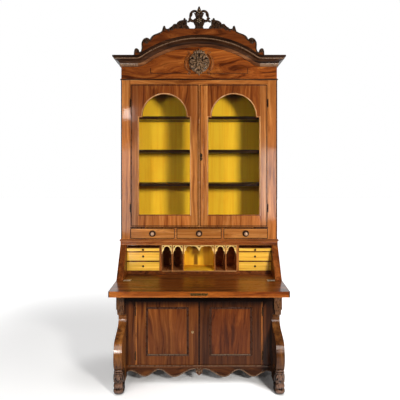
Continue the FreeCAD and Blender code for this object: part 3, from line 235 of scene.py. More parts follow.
pine_across = bare_pine("bare pine across", GRAIN_ACROSS)
pine_upright = bare_pine("bare pine upright", GRAIN_UP, 0.9)
pine_back = bare_pine("bare pine front to back", GRAIN_BACK)
dress("cabinet_boards cabinet_shelf", pine_across)
dress("back_boards", pine_upright)
dress("rear_feet", cabinet_upright)

# Cabinet front: two corner stiles, the bottom rail with its nosing and the rail under the desk, jointed and
# veneered in rosewood, with the grain along each piece. The right stile and the rail under the flap take
# darker copies of the wood, painted shade.
cupboard_half, desk_rail_foot = 0.447, 0.574
stile_upright = polished("left stile rosewood", GRAIN_UP, (64, 31, 13), (112, 60, 26), (147, 86, 42),
                         swirl=0.12, fine=1.8)
# The right stile's darker copy is painted shade, and so is the near-black rail under the flap.
shaded_upright = polished("right stile rosewood in painted shade", GRAIN_UP, (48, 23, 10), (86, 45, 20), (114, 65, 32),
                          swirl=0.12, fine=1.8)
shaded_rail = polished("shaded rail rosewood", GRAIN_ACROSS, (18, 8, 4), (34, 16, 8), (50, 26, 13), coat=0.0)


def front_side(middle, facing):
    """The rail under the flap, the right stile, the rails or the left stile."""
    if middle.z > desk_rail_foot:
        return 3
    if middle.x > cupboard_half:
        return 2
    return int(middle.x > -cupboard_half)


dress("cabinet_face_frame", stile_upright, cabinet_across, shaded_upright, shaded_rail, choose=front_side)

# Apron: a sawn board under the bottom rail, with a rounded bead carved along its waved edge and a small
# carved leaf knot in the middle, both pale with a painted highlight.
apron_wood = polished("apron rosewood", GRAIN_ACROSS, (44, 22, 10), (86, 46, 22), (122, 72, 36), swirl=0.4,
                      streak=0.4, coat=0.1)
dress("apron", apron_wood)
OUTWARD = Vector((0.0, -1.0, 0.0))
CURL_STEPS = 18


def rim(name, keep):
    """Follow the front edge of a solid's outline where keep says so, in order from one end."""
    faces_front, turns_off, shortest = -0.99, -0.5, 0.0015
    copy = bmesh.new()
    copy.from_mesh(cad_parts[name].data)
    bmesh.ops.remove_doubles(copy, verts=copy.verts, dist=1e-6)
    beside = {}
    for edge in copy.edges:
        turns = sorted(side.normal.y for side in edge.link_faces)
        middle = (edge.verts[0].co + edge.verts[1].co) / 2
        if len(turns) == 2 and turns[0] < faces_front and turns[1] > turns_off and keep(middle):
            for one, other in (edge.verts, reversed(edge.verts)):
                beside.setdefault(one, []).append(other)
    here = min(beside, key=lambda vert: (len(beside[vert]), vert.co.x))
    route, seen = [here.co.copy()], {here}
    while True:
        ahead = [vert for vert in beside[here] if vert not in seen]
        if not ahead:
            break
        here = ahead[0]
        seen.add(here)
        if (here.co - route[-1]).length > shortest:
            route.append(here.co.copy())
    if len(beside[here]) == 2:
        route.append(route[0].copy())
    copy.free()
    return route


def verts_of(geometry):
    """Pick the verts out of what an operator made."""
    return [part for part in geometry if isinstance(part, bmesh.types.BMVert)]


def grow(shape, ring):
    """Extrude a ring of edges; gives the new verts and the new ring."""
    made = bmesh.ops.extrude_edge_only(shape, edges=ring)["geom"]
    edges = [part for part in made if isinstance(part, bmesh.types.BMEdge) and part.is_boundary]
    return verts_of(made), edges


def roll(carving, route, width, proud=None, sides=8):
    """Carve a rounded band along a route in an upright plane; width is one number or one for each point."""
    points = [Vector(point) for point in route]
    widths = width if isinstance(width, list) else [width] * len(points)
    closed = (points[0] - points[-1]).length < 1e-6
    last = len(points) - 1
    ring, placed = None, None
    for number, point in enumerate(points):
        before = points[number - 1] if number else points[last - 1 if closed else 0]
        after = points[number + 1] if number < last else points[1 if closed else last]
        ahead = (after - before).normalized()
        height = proud or widths[number] / 2
        across = ahead.cross(OUTWARD) * widths[number] / 2
        place = Matrix((across, OUTWARD * height, ahead)).transposed().to_4x4()
        place.translation = point
        if ring is None:
            made = bmesh.ops.create_circle(carving, cap_ends=not closed, segments=sides, radius=1.0,
                                           matrix=place)
            ring = list({edge for vert in made["verts"] for edge in vert.link_edges})
        else:
            verts, ring = grow(carving, ring)
            bmesh.ops.transform(carving, matrix=place @ placed.inverted(), verts=verts)
        placed = place
    if not closed:
        bmesh.ops.edgeloop_fill(carving, edges=ring)


def leaf(carving, foot, tip, width, proud):
    """Carve one pointed leaf that lies on a front, from its foot to its tip."""
    foot, tip = Vector(foot), Vector(tip)
    along = tip - foot
    sharpness, lift = 0.9, 0.25
    made = bmesh.ops.create_uvsphere(carving, u_segments=10, v_segments=8, radius=0.5)["verts"]
    for vert in made:
        vert.co.x *= 1.0 - sharpness * max(vert.co.z, 0.0)
        vert.co.y += lift * (vert.co.z + 0.5) * (0.5 - abs(vert.co.x))
    across = along.cross(OUTWARD).normalized() * width
    place = Matrix((across, OUTWARD * 2 * proud, along)).transposed().to_4x4()
    place.translation = (foot + tip) / 2
    bmesh.ops.transform(carving, matrix=place, verts=made)


def settle(shape, verts, size, spot):
    """Stretch new verts to a size and set them on a spot."""
    bmesh.ops.scale(shape, vec=size, verts=verts)
    bmesh.ops.translate(shape, vec=spot, verts=verts)


def berry(carving, spot, radius, proud=1.0):
    """Carve a small round berry."""
    made = bmesh.ops.create_icosphere(carving, subdivisions=2, radius=radius)["verts"]
    settle(carving, made, (1.0, proud, 1.0), spot)


def spoke(angle):
    """The direction at an angle in the plane of a front."""
    return Vector((math.cos(angle), 0.0, math.sin(angle)))


def curl(centre, start, turns, outer, inner, steps=CURL_STEPS):
    """Points of a scroll that winds in round its centre, from the outside."""
    points = []
    for step in range(steps + 1):
        part = step / steps
        angle = start + turns * 2 * math.pi * part
        points.append(Vector(centre) + spoke(angle) * (outer + (inner - outer) * part))
    return points


def mirror_over(carving):
    """Add the same carving on the other side of the middle."""
    every = carving.verts[:] + carving.edges[:] + carving.faces[:]
    copied = bmesh.ops.duplicate(carving, geom=every)["geom"]
    bmesh.ops.scale(carving, vec=(-1.0, 1.0, 1.0), verts=verts_of(copied))


def add_object(shape, name, finishes):
    """Put a modelled shape into the scene with its finishes."""
    mesh = bpy.data.meshes.new(name)
    shape.to_mesh(mesh)
    shape.free()
    for finish in finishes:
        mesh.materials.append(finish)
    added = bpy.data.objects.new(name, mesh)
    bpy.context.collection.objects.link(added)
    return added


def finish_piece(shape, name, body, finishes, replaced=(), smooth_below=50.0):
    """Close a modelled piece and put it on its body."""
    bmesh.ops.remove_doubles(shape, verts=shape.verts, dist=1e-5)
    bmesh.ops.recalc_face_normals(shape, faces=shape.faces)
    piece = add_object(shape, name, finishes)
    piece.data.shade_smooth()
    piece.data.set_sharp_from_angle(angle=math.radians(smooth_below))
    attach(piece, body)
    if replaced:
        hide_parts(*replaced)


def carved(name, dark, light, coat=0.3, haze=0.15, gloss=0.2):
    """Carved wood: dark stain with painted shade in the hollows, and a painted highlight where it stands
    proud.
    """
    finish, tree, place = new_finish(name)
    # Ambient occlusion paints shade into the hollows and a highlight on the proud parts.
    occlusion_shade = put(tree, "AmbientOcclusion", {"Distance": 0.02}, samples=6).outputs["AO"]
    grain = cloud(place, (90.0, 90.0, 35.0))
    lit = ease(times(occlusion_shade, grain), 0.2, 0.56)
    bump = {"Strength": 0.25, "Distance": 0.001, "Height": grain}
    set_finish(finish, {
        "Base Color": lay(lit, tint(*dark), tint(*light)),
        "Roughness": ease(grain, 0.3, 0.7, 0.22, 0.42),
        "Normal": put(tree, "Bump", bump).outputs[0], "Specular IOR Level": gloss,
        "Coat Weight": coat, "Coat Roughness": haze})
    return finish


def measured_from(x, y, z):
    """Make a function that gives places measured from one spot."""
    return lambda across, deep, up: Vector((x + across, y + deep, z + up))


# Pale carved wood: the paleness is a painted highlight.
highlit_carving = carved("carved rosewood with painted highlight", (56, 36, 23), (136, 104, 78), coat=0.5)
apron_stand, wave_top, wave_half, skin = 0.022, 0.105, 0.496, 0.003
apron_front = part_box("cabinet_sides")[0].y - apron_stand
edge_line = rim("apron", lambda spot: spot.z < wave_top and abs(spot.x) < wave_half
                and spot.y > apron_front - skin)
apron_edge = bmesh.new()
roll(apron_edge, [point + Vector((0.0, -0.001, 0.003)) for point in edge_line], 0.01)
on_knot = measured_from(0.0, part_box("apron")[0].y, 0.0)
for lean in (-1, 0, 1):
    tip = on_knot(0.024 * lean, -0.002, 0.064 + 0.014 * abs(lean))
    leaf(apron_edge, on_knot(0.006 * lean, 0.0, 0.1), tip, 0.016, 0.006)
for side in (-1, 1):
    roll(apron_edge, curl(on_knot(0.016 * side, 0.0, 0.1), math.pi / 2, 0.9 * side, 0.012, 0.004), 0.006)
berry(apron_edge, on_knot(0.0, -0.004, 0.101), 0.006)
finish_piece(apron_edge, "apron_edge", "case", [highlit_carving])

# Rail bead: a thin rounded strip of the same wood as the carving, pinned along the nosing of the bottom
# rail, pale with a painted highlight.
rail_bead = bmesh.new()
rail_front, rail_bead_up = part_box("cabinet_face_frame")[0].y + 0.001, 0.1245
roll(rail_bead, [(0.1 * step, rail_front, rail_bead_up) for step in range(-5, 6)], 0.006, 0.0025)
finish_piece(rail_bead, "rail_bead", "case", [highlit_carving])

# Scroll legs: two S-shaped posts sawn from thick rosewood, polished on the round, standing on the front feet
# and glued under the corbels. The right leg is a darker copy of the wood, painted shade.
leg_wood = polished("leg rosewood", GRAIN_UP, (74, 38, 14), (138, 82, 36), (176, 114, 56), swirl=0.25,
                    streak=0.4, coat=0.6, haze=0.12)
# Darker copy for the right leg: painted shade.
shaded_leg = polished("right leg rosewood in painted shade", GRAIN_UP, (50, 24, 9), (98, 57, 25), (128, 81, 39), swirl=0.25,
                      streak=0.4, coat=0.5, haze=0.12)
dress("scroll_legs", leg_wood, shaded_leg, choose=lambda middle, facing: middle.x > 0.0)

# Front feet: carved blocks under the legs, with a leaf wrapped over the front, a rolled toe and a collar of
# two beads. Dark stain and painted shade fill the carving, and the sides of each foot are painted dark as
# shade.
foot_low, foot_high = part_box("front_feet")
foot_half = 0.034
foot_middle = foot_high.x - foot_half
foot_front, foot_back = foot_low.y, foot_high.y
foot_rings = ((0.0, 0.02, 0.034), (0.003, 0.028, 0.021), (0.01, 0.0335, 0.01), (0.02, 0.036, 0.0045),
              (0.03, 0.036, 0.0035), (0.036, 0.0345, 0.006), (0.04, 0.032, 0.013), (0.046, 0.0345, 0.008),
              (0.056, 0.0355, 0.0035), (0.066, 0.0345, 0.0065), (0.074, 0.0325, 0.0135),
              (0.08, 0.031, 0.019), (0.092, 0.031, 0.021), (0.104, 0.032, 0.018), (0.118, 0.0335, 0.013),
              (0.13, 0.034, 0.01), (0.141, 0.032, 0.012), (0.1445, 0.033, 0.006), (0.149, 0.034, 0.004),
              (0.1525, 0.032, 0.007), (0.1545, 0.028, 0.013), (0.157, 0.0305, 0.007),
              (0.163, 0.0315, 0.0045), (0.168, 0.03, 0.0065), (0.17, 0.027, 0.01))


def stack(shape, rings, across, front, back, sides=24, square=0.6):
    """Build a rounded block upwards from rings of height, half width and distance behind the front."""
    verts = bmesh.ops.create_circle(shape, cap_ends=True, segments=sides, radius=1.0)["verts"]
    for vert in verts:
        vert.co.x = math.copysign(abs(vert.co.x) ** square, vert.co.x)
        vert.co.y = math.copysign(abs(vert.co.y) ** square, vert.co.y)
    edges = list({edge for vert in verts for edge in vert.link_edges})
    placed = Matrix()
    for number, (up, half, behind) in enumerate(rings):
        middle = Vector((across, (front + behind + back) / 2, up))
        place = Matrix.Translation(middle) @ Matrix.Diagonal((half, (back - front - behind) / 2, 1.0, 1.0))
        if number:
            verts, edges = grow(shape, edges)
        bmesh.ops.transform(shape, matrix=place @ placed.inverted(), verts=verts)
        placed = place
    bmesh.ops.edgeloop_fill(shape, edges=edges)


feet = bmesh.new()
stack(feet, foot_rings, foot_middle, foot_front, foot_back)
on_foot = measured_from(foot_middle, foot_front, 0.0)
leaf(feet, on_foot(0.0, 0.014, 0.144), on_foot(0.0, 0.011, 0.097), 0.036, 0.011)
for lean in (-1, 1):
    leaf(feet, on_foot(0.014 * lean, 0.016, 0.143), on_foot(0.026 * lean, 0.014, 0.104), 0.018, 0.009)
    berry(feet, on_foot(0.0085 * lean, 0.01, 0.108), 0.0085)
    leaf(feet, on_foot(0.008 * lean, 0.017, 0.1), on_foot(0.011 * lean, 0.014, 0.078), 0.011, 0.006)
    spot = on_foot(0.0225 * lean, 0.013, 0.094)
    roll(feet, curl(spot, math.pi / 2, 1.2 * lean, 0.0095, 0.003), 0.007)
    berry(feet, spot, 0.0045)
    for deep in (0.034, 0.06):
        lobe = bmesh.ops.create_uvsphere(feet, u_segments=10, v_segments=8, radius=1.0)["verts"]
        settle(feet, lobe, (0.005, 0.012, 0.03), on_foot(0.031 * lean, deep, 0.11))
for lean in (-2, -1, 0, 1, 2):
    toe = on_foot(0.011 * lean, 0.012 + 0.001 * lean * lean, 0.072)
    tip = on_foot(0.0125 * lean, 0.004 + 0.0015 * lean * lean, 0.045)
    leaf(feet, toe, tip, 0.012, 0.004)
mirror_over(feet)
# Faces turned to the sides take a near-black finish: painted shade.
cheek_turn = 0.75
for face in feet.faces:
    face.material_index = int(abs(face.normal.x) > cheek_turn)
foot_carving = carved("carved foot rosewood", (28, 14, 8), (136, 98, 76), coat=1.0, haze=0.1)
foot_side_shade = carved("foot side painted shade", (16, 9, 6), (40, 24, 15), coat=0.0, gloss=0.05)
finish_piece(feet, "carved_front_feet", "case", [foot_carving, foot_side_shade], ["front_feet"])

# Corbel blocks: shaped rosewood blocks glued over the legs that carry the open flap, each sawn with a hollow
# front, drawn in above the leg, and carved with a leaf over a small round boss.
corbel_low, corbel_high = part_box("corbel_blocks")
corbel_front, corbel_back = corbel_low.y, corbel_high.y
corbel_middle, corbel_half, corbel_top = 0.552, 0.0275, 0.6845
corbel_hollow = ((0.002, corbel_top), (0.0, 0.676), (0.002, 0.655), (0.007, 0.62), (0.008, 0.59),
                 (0.006, 0.56), (0.001, 0.535), (0.0, 0.523), (0.003, 0.514), (0.009, 0.51), (0.009, 0.5),
                 (0.006, 0.494), (0.006, corbel_low.z))
corbel_outline = [(corbel_back, corbel_top)]
corbel_outline += [(corbel_front + behind, up) for behind, up in corbel_hollow]
corbel_outline += [(corbel_back, corbel_low.z)]


def sawn(shape, outline, start, end):
    """Saw a board to an outline of y and z, from start to end across."""
    corners = [shape.verts.new((start, y, z)) for y, z in outline]
    cut = bmesh.ops.contextual_create(shape, geom=corners)["faces"]
    moved = bmesh.ops.extrude_face_region(shape, geom=cut)["geom"]
    bmesh.ops.translate(shape, vec=(end - start, 0.0, 0.0), verts=verts_of(moved))


corbels = bmesh.new()
sawn(corbels, corbel_outline, corbel_middle - corbel_half, corbel_middle + corbel_half)
neck_up, neck_part, edge_span = 0.515, 0.76, 0.012
for vert in corbels.verts:
    if vert.co.z < neck_up:
        vert.co.x = corbel_middle + neck_part * (vert.co.x - corbel_middle)
cheeks = []
for edge in corbels.edges:
    one, other = (vert.co for vert in edge.verts)
    if abs(one.x - other.x) < edge_span and max(one.y, other.y) < corbel_back - 0.001:
        cheeks.append(edge)
bmesh.ops.bevel(corbels, geom=cheeks, offset=0.003, affect="EDGES", segments=2, profile=0.5, material=-1,
                clamp_overlap=True)
on_corbel = measured_from(corbel_middle, corbel_front, 0.0)
leaf(corbels, on_corbel(0.0, 0.003, 0.678), on_corbel(0.0, 0.004, 0.575), 0.04, 0.007)
ring_spot = on_corbel(0.0, 0.003, 0.55)
roll(corbels, curl(ring_spot, 0.0, 1.0, 0.0115, 0.0115), 0.006)
berry(corbels, ring_spot, 0.006)
for lean in (-1, 1):
    leaf(corbels, on_corbel(0.012 * lean, 0.004, 0.645), on_corbel(0.022 * lean, 0.004, 0.57), 0.015, 0.006)
    leaf(corbels, on_corbel(0.012 * lean, 0.002, 0.538), on_corbel(0.004 * lean, 0.006, 0.506), 0.014, 0.006)
    spot = on_corbel(0.02 * lean, 0.001, 0.53)
    roll(corbels, curl(spot, math.pi / 2, 1.1 * lean, 0.008, 0.003), 0.005)
mirror_over(corbels)
corbel_carving = carved("carved corbel rosewood", (46, 25, 13), (116, 76, 46))
finish_piece(corbels, "carved_corbels", "case", [corbel_carving], ["corbel_blocks"])

# Desk: two slant-cut sides, the writing board behind the flap, the top board and the moulding at the waist,
# all rosewood, polished darker inside where light does not reach.
desk_across = polished("desk rosewood across", GRAIN_ACROSS, (96, 48, 18), (152, 86, 38), (184, 116, 58))
desk_deep = polished("desk rosewood front to back", GRAIN_BACK, (70, 32, 12), (116, 58, 22), (150, 84, 36))
desk_floor = polished("desk floor rosewood", GRAIN_ACROSS, (68, 33, 12), (116, 62, 23), (146, 84, 35),
                      swirl=0.25, coat=0.13, haze=0.13)
dress("desk_sides", desk_deep)
dress("desk_top", desk_across)
# Faces of the waist moulding that look down take this darker wood, painted shade; a flat band of it also
# runs along the front of the desk top.
waist_dark = polished("waist band rosewood", GRAIN_ACROSS, (84, 38, 14), (134, 66, 26), (162, 90, 40))
dress("waist_moulding", desk_across, waist_dark, choose=lambda middle, facing: facing.z < -0.3)
waist_front, waist_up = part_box("desk_top")[0].y, 0.956
waist_band = bmesh.new()
roll(waist_band, [(0.116 * step, waist_front, waist_up) for step in range(-5, 6)], 0.011, 0.0012)
finish_piece(waist_band, "waist_band", "case", [waist_dark])
dress("writing_board", desk_floor)

# Writing flap: a wide rosewood board, polished like glass on the writing side, with a dark painted
# reflection along its front and a pale patch right of the middle, partly wear and partly painted reflection;
# a dull brass lock plate is let into the front edge and white-metal butt hinges sit at the rear.
flap_edge = polished("flap edge rosewood", GRAIN_ACROSS, (114, 51, 14), (166, 87, 28), (191, 109, 39))
flap_top = polished("flap top rosewood", GRAIN_ACROSS, (72, 34, 12), (120, 64, 23), (150, 86, 35),
                    swirl=0.25, coat=0.35, haze=0.13)
where = where_on(flap_top)
glossy_ends, reflection_band, sheen_from, sheen_to = (0.5, 0.54), (-0.35, -0.395), (0.16, 0.36), (0.56, 0.4)
# Painted dark reflection along the front of the writing side.
discolour(flap_top, tint(44, 18, 6), ease(where["Y"], *reflection_band, 0.0, 0.6))
# A pale patch right of the middle: wear and painted reflection.
wear_and_sheen = ease(where["X"], *sheen_from, 0.0, 0.55)
discolour(flap_top, tint(178, 98, 34), wear_and_sheen, ease(where["X"], *sheen_to))
aside = maths("ABSOLUTE", where["X"])
set_finish(flap_top, {"Coat Weight": ease(aside, *glossy_ends, 0.17, 0.9)})
where = where_on(flap_edge)
lower_edge, dark_ends = (0.694, 0.69), (0.573, 0.577)
patchy = ease(cloud(where["Place"], (9.0, 9.0, 9.0)), 0.35, 0.65, 0.1, 0.8)
discolour(flap_edge, tint(200, 120, 58), patchy, ease(where["Z"], *lower_edge))
aside = maths("ABSOLUTE", where["X"])
discolour(flap_edge, tint(66, 36, 18), ease(aside, *dark_ends))
dress("writing_flap", flap_edge, flap_top, choose=lambda middle, facing: abs(facing.z) > 0.7)


def metal(name, bright, tarnish, rough):
    """Old metal: bright where it is rubbed, brown where it is left."""
    finish, tree, place = new_finish(name)
    stain = ease(cloud(place, (140.0, 140.0, 140.0), 4.0), 0.4, 0.62)
    edge = put(tree, "Group", {"Place": place, "Reach": 0.001}, node_tree=rubbed).outputs
    set_finish(finish, {"Base Color": lay(stain, tint(*bright), tint(*tarnish)),
                        "Roughness": ease(stain, 0.0, 1.0, rough, rough + 0.2),
                        "Normal": edge["Normal"], "Metallic": 1.0})
    return finish


brass = metal("old brass", (236, 208, 156), (150, 112, 62), rough=0.25)
iron = metal("browned iron", (84, 70, 54), (40, 32, 24), rough=0.35)
steel = metal("worn white metal", (232, 228, 218), (158, 146, 128), rough=0.3)
dull_brass = metal("dull lock brass", (128, 104, 62), (66, 48, 26), rough=0.4)
lock_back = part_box("writing_flap")[0].y + 0.05
dress("flap_fittings", steel, dull_brass, choose=lambda middle, facing: middle.y < lock_back)

# Desk interior: a row of pigeonholes between thin dividers, a taller niche in the middle and a bank of
# drawers at each end, built as one loose box of thin boards and slid into the desk. The niche is lined in
# yellow, with a painted shadow down its back and painted shade at its top.
niche_half = 0.113
nook_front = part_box("desk_interior")[0].y
niche_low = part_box("niche_back")[0]
base_top = niche_low.z
divider_edge = polished("divider edge wood", GRAIN_UP, (104, 54, 22), (160, 94, 44), (190, 124, 64))
# A darker wood for the fronts of the base and of the drawer runners: painted shade under and between the
# drawers.
nook_dark = polished("drawer bank wood", GRAIN_BACK, (58, 28, 12), (98, 50, 22), (128, 70, 32), swirl=0.15,
                     streak=0.4, coat=0.1)
nook_wood = polished("pigeonhole wood", GRAIN_BACK, (122, 68, 34), (160, 98, 52), (184, 122, 70), swirl=0.15,
                     streak=0.4, coat=0.05)


def yellow_paint(name, clean, stained, streaks, coat=0.0):
    """Thin yellow lining paint, brushed upright and stained by age."""
    finish, tree, place = new_finish(name)
    clean, stained = tint(*clean), tint(*stained)
    brushed = cloud(place, (70.0, 70.0, 2.0), 4.0)
    stain = ease(cloud(place, (5.0, 5.0, 3.0), 4.0), 0.5, 0.75)
    colour = lay(ease(brushed, 0.4, 0.7, 0.0, streaks), clean, stained)
    bump = {"Strength": 0.15, "Distance": 0.0005, "Height": brushed}
    set_finish(finish, {
        "Base Color": lay(times(stain, streaks), colour, stained),
        "Roughness": ease(brushed, 0.3, 0.7, 0.5, 0.65),
        "Normal": put(tree, "Bump", bump).outputs[0], "Specular IOR Level": 0.15,
        "Coat Weight": coat})
    return finish


yellow = yellow_paint("yellow lining paint", (255, 203, 48), (240, 162, 24), streaks=0.4)
niche_yellow = yellow_paint("niche lining paint with painted shade", (232, 181, 45), (209, 146, 25), streaks=0.4)
where = where_on(niche_yellow)
# A painted shadow down the back of the niche and painted shade at its top.
fold_shadow_x, fold_shadow_side, fold_shadow_foot = -0.026, (0.022, 0.008), (base_top, base_top + 0.008)
top_shade_side, top_shade_up = (0.06, 0.015), (0.795, 0.85)
beside = maths("ABSOLUTE", maths("SUBTRACT", where["X"], fold_shadow_x))
fold_shadow = times(ease(beside, *fold_shadow_side, 0.0, 0.85), ease(where["Z"], *fold_shadow_foot))
shade_smudge = times(ease(beside, *top_shade_side, 0.0, 0.9), ease(where["Z"], *top_shade_up))
discolour(niche_yellow, tint(80, 38, 8), maths("MAXIMUM", fold_shadow, shade_smudge))
dress("niche_back", niche_yellow)


def nook_side(middle, facing):
    """The front of the base, the divider edges, the inside of the niche or the rest."""
    thin = 0.002
    if facing.y < -0.7 and middle.y < nook_front + thin:
        return 3 if middle.z < base_top else 0
    inside_niche = abs(middle.x) < niche_half + thin and facing.x * middle.x < 0
    return 2 if inside_niche else 1


dress("desk_interior", divider_edge, nook_wood, niche_yellow, nook_dark, choose=nook_side)

# Pigeonhole arches: thin fretted valances in pale satinwood, cut to gothic points and glued in the tops of
# the pigeonholes and the niche. A thin rounded strip of the same wood edges the base, and a thin painted
# board lines the floor of the niche.
satinwood = polished("satinwood", GRAIN_ACROSS, (214, 154, 52), (240, 188, 68), (250, 206, 96), swirl=0.1,
                     streak=0.25, haze=0.2, wear=0.3, fine=2.0)
valance_wood = polished("valance satinwood", GRAIN_ACROSS, (214, 168, 88), (244, 208, 130), (252, 228, 164),
                        swirl=0.1, streak=0.2, coat=0.2, haze=0.2, wear=0.3)
strip_wood = polished("strip satinwood", GRAIN_ACROSS, (150, 104, 62), (196, 146, 96), (222, 182, 134),
                      swirl=0.1, streak=0.3, haze=0.2)
dress("pigeonhole_arches niche_arch", valance_wood)
# Runner fronts in the darker wood: painted shade between the drawers.
dress("drawer_runners", nook_dark)
post_inner, strip_up, lining_thick = 0.277, 0.745, 0.001
strip = bmesh.new()
roll(strip, [(post_inner * step / 4, nook_front, strip_up) for step in range(-4, 5)], 0.006, 0.002)
finish_piece(strip, "satinwood_strips", "case", [strip_wood])


def block(shape, low, high):
    """Add a plain block between two corners."""
    low, high = Vector(low), Vector(high)
    made = bmesh.ops.create_cube(shape, size=1.0)["verts"]
    settle(shape, made, high - low, (low + high) / 2)


niche_floor = bmesh.new()
block(niche_floor, (-niche_half, nook_front, base_top), (niche_half, niche_low.y, base_top + lining_thick))
bmesh.ops.bevel(niche_floor, geom=niche_floor.edges[:], offset=0.0004, affect="EDGES", segments=2,
                profile=0.5, material=-1)
finish_piece(niche_floor, "niche_floor_lining", "case", [niche_yellow], smooth_below=30.0)

# Small desk drawers: six satinwood boxes with thin sides, glued up and slid in on thin boards, each with a
# little turned knob in dark wood.
knob_dark = carved("dark turned wood", (34, 20, 12), (70, 44, 26), coat=0.6)
knob_reach, skin = 0.0144, 0.0004
for side in ("left", "right"):
    for size in ("low", "middle", "thin"):
        drawer = "%s_%s_drawer" % (side, size)
        knob_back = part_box(drawer)[0].y + knob_reach - skin
        dress(drawer, satinwood, knob_dark, choose=lambda middle, facing: middle.y < knob_back)

# Bookcase: two sides, the face frame of stiles and rails, and the boards between, in rosewood that the sun
# has bleached to a warm tan, jointed and glued. Dark beads run up both corners and under the doors.
case_upright = polished("bookcase rosewood upright", GRAIN_UP, (130, 68, 26), (176, 104, 46), (202, 132, 68),
                        swirl=0.15, streak=0.4, coat=0.35, haze=0.07, fine=1.8)
case_across = polished("bookcase rosewood across", GRAIN_ACROSS, (126, 66, 26), (176, 106, 48),
                       (204, 136, 72))
opening_half, board_front = 0.509, 0.029
dress("bookcase_sides", case_upright)
dress("bookcase_face_frame", case_upright, case_across,
      choose=lambda middle, facing: abs(middle.x) < opening_half)
dress("bookcase_boards drawer_partitions", pine_across, case_across,
      choose=lambda middle, facing: middle.y < board_front)

corner_dark = carved("dark corner bead", (30, 16, 8), (66, 38, 20))
corner_x, corner_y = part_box("bookcase_face_frame")[1].x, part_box("bookcase_face_frame")[0].y
corner_inset, foot_bead_up = 0.002, 1.07
corners = bmesh.new()
for side in (-1, 1):
    corner = side * (corner_x - corner_inset)
    roll(corners, [(corner, corner_y + corner_inset, up) for up in (0.986, 1.3, 1.7, 2.159)], 0.009, 0.0045)
finish_piece(corners, "corner_beads", "case", [corner_dark])
foot_bead = bmesh.new()
for start, end, thick in ((-0.509, -0.4, 0.0085), (-0.395, 0.395, 0.006), (0.4, 0.509, 0.0085)):
    line = [(start + (end - start) * part / 4, corner_y, foot_bead_up) for part in range(5)]
    roll(foot_bead, line, thick, 0.004)
finish_piece(foot_bead, "door_foot_bead", "case", [corner_dark])

# Bookcase lining: the back is two wide boards, painted yellow inside with an open dark joint in the middle
# and painted shade behind the tops of the doors, and left as bare planks behind. Three near-black shelves
# rest on pegs.
shelf_wood = polished("dark shelf wood", GRAIN_ACROSS, (22, 11, 4), (38, 20, 7), (54, 30, 12), swirl=0.1,
                      streak=0.3, coat=0.05)
where = where_on(yellow)
arch_shade, joint_edge = (2.03, 2.12), (0.005, 0.004)
aside = maths("ABSOLUTE", where["X"])
# Painted shade behind the arched tops of the doors.
discolour(yellow, tint(60, 28, 10), ease(where["Z"], *arch_shade, 0.0, 0.8))
discolour(yellow, tint(44, 24, 10), ease(aside, *joint_edge))
dress("bookcase_back", pine_upright, yellow, choose=lambda middle, facing: facing.y < -0.5)
dress("bookshelves", shelf_wood)
dress("shelf_pegs", brass)
desk_low, desk_high, plate_left = 0.7, 0.75, -0.1
dress("left_door_hinges right_cupboard_hinges right_door_fittings", iron)
dress("fixed_hinges", iron, steel, choose=lambda middle, facing: desk_low < middle.z < desk_high)
dress("left_cupboard_fittings", iron, brass, choose=lambda middle, facing: middle.x > plate_left)

# Frieze drawers: three shallow drawers with rosewood fronts and pine boxes. Each knob is turned: a dark
# rosette with a ring, and a pale bone button in its middle.
frieze_wood = polished("frieze drawer rosewood", GRAIN_ACROSS, (116, 62, 24), (170, 104, 46), (200, 134, 68),
                       streak=0.5, fine=1.6)
front_back = 0.047
dress("left_frieze_drawer middle_frieze_drawer right_frieze_drawer", pine_back, frieze_wood,
      choose=lambda middle, facing: middle.y < front_back)
knob_outline = ((0.0, 0.0), (0.024, 0.0), (0.0245, 0.003), (0.0225, 0.006), (0.019, 0.007),
                (0.0175, 0.0095), (0.0145, 0.0105), (0.011, 0.0095), (0.0085, 0.011), (0.0075, 0.016),
                (0.009, 0.0185), (0.0, 0.0185))
button_outline = ((0.0, 0.0175), (0.009, 0.0175), (0.0125, 0.019), (0.0138, 0.023), (0.0125, 0.028),
                  (0.008, 0.0325), (0.0, 0.034))


def turned(shape, outline, centre, way, steps=28):
    """Turn an outline of radius and reach round an axis that points one way."""
    centre, way = Vector(centre), Vector(way)
    ring = [shape.verts.new(centre + Vector((radius, 0.0, 0.0)) + way * reach) for radius, reach in outline]
    line = [shape.edges.new(pair) for pair in zip(ring, ring[1:])]
    bmesh.ops.spin(shape, geom=ring + line, cent=centre, axis=way, dvec=(0.0, 0.0, 0.0),
                   angle=2 * math.pi, steps=steps, use_merge=True)


# Dark wood for the beads round doors and drawers and the foot of the pane beads: painted shade of the gaps.
gap_shade_wood = carved("dark edge bead in painted gap shade", (34, 18, 9), (70, 38, 18))


def edge_bead(name, body, node, inset, width, proud):
    """Run a thin bead round the front of a door or drawer, a little in from its edges, dark with painted gap
    shade.
    """
    lip = bmesh.new()
    low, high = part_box(node)
    left, right, foot, head = low.x + inset, high.x - inset, low.z + inset, high.z - inset
    corners = [(left, foot), (right, foot), (right, head), (left, head)]
    for (x, z), (next_x, next_z) in zip(corners, corners[1:] + corners[:1]):
        side = [(x + (next_x - x) * part, low.y, z + (next_z - z) * part) for part in (0.0, 0.3, 0.7, 1.0)]
        roll(lip, side, width, proud)
    finish_piece(lip, name, body, [gap_shade_wood])


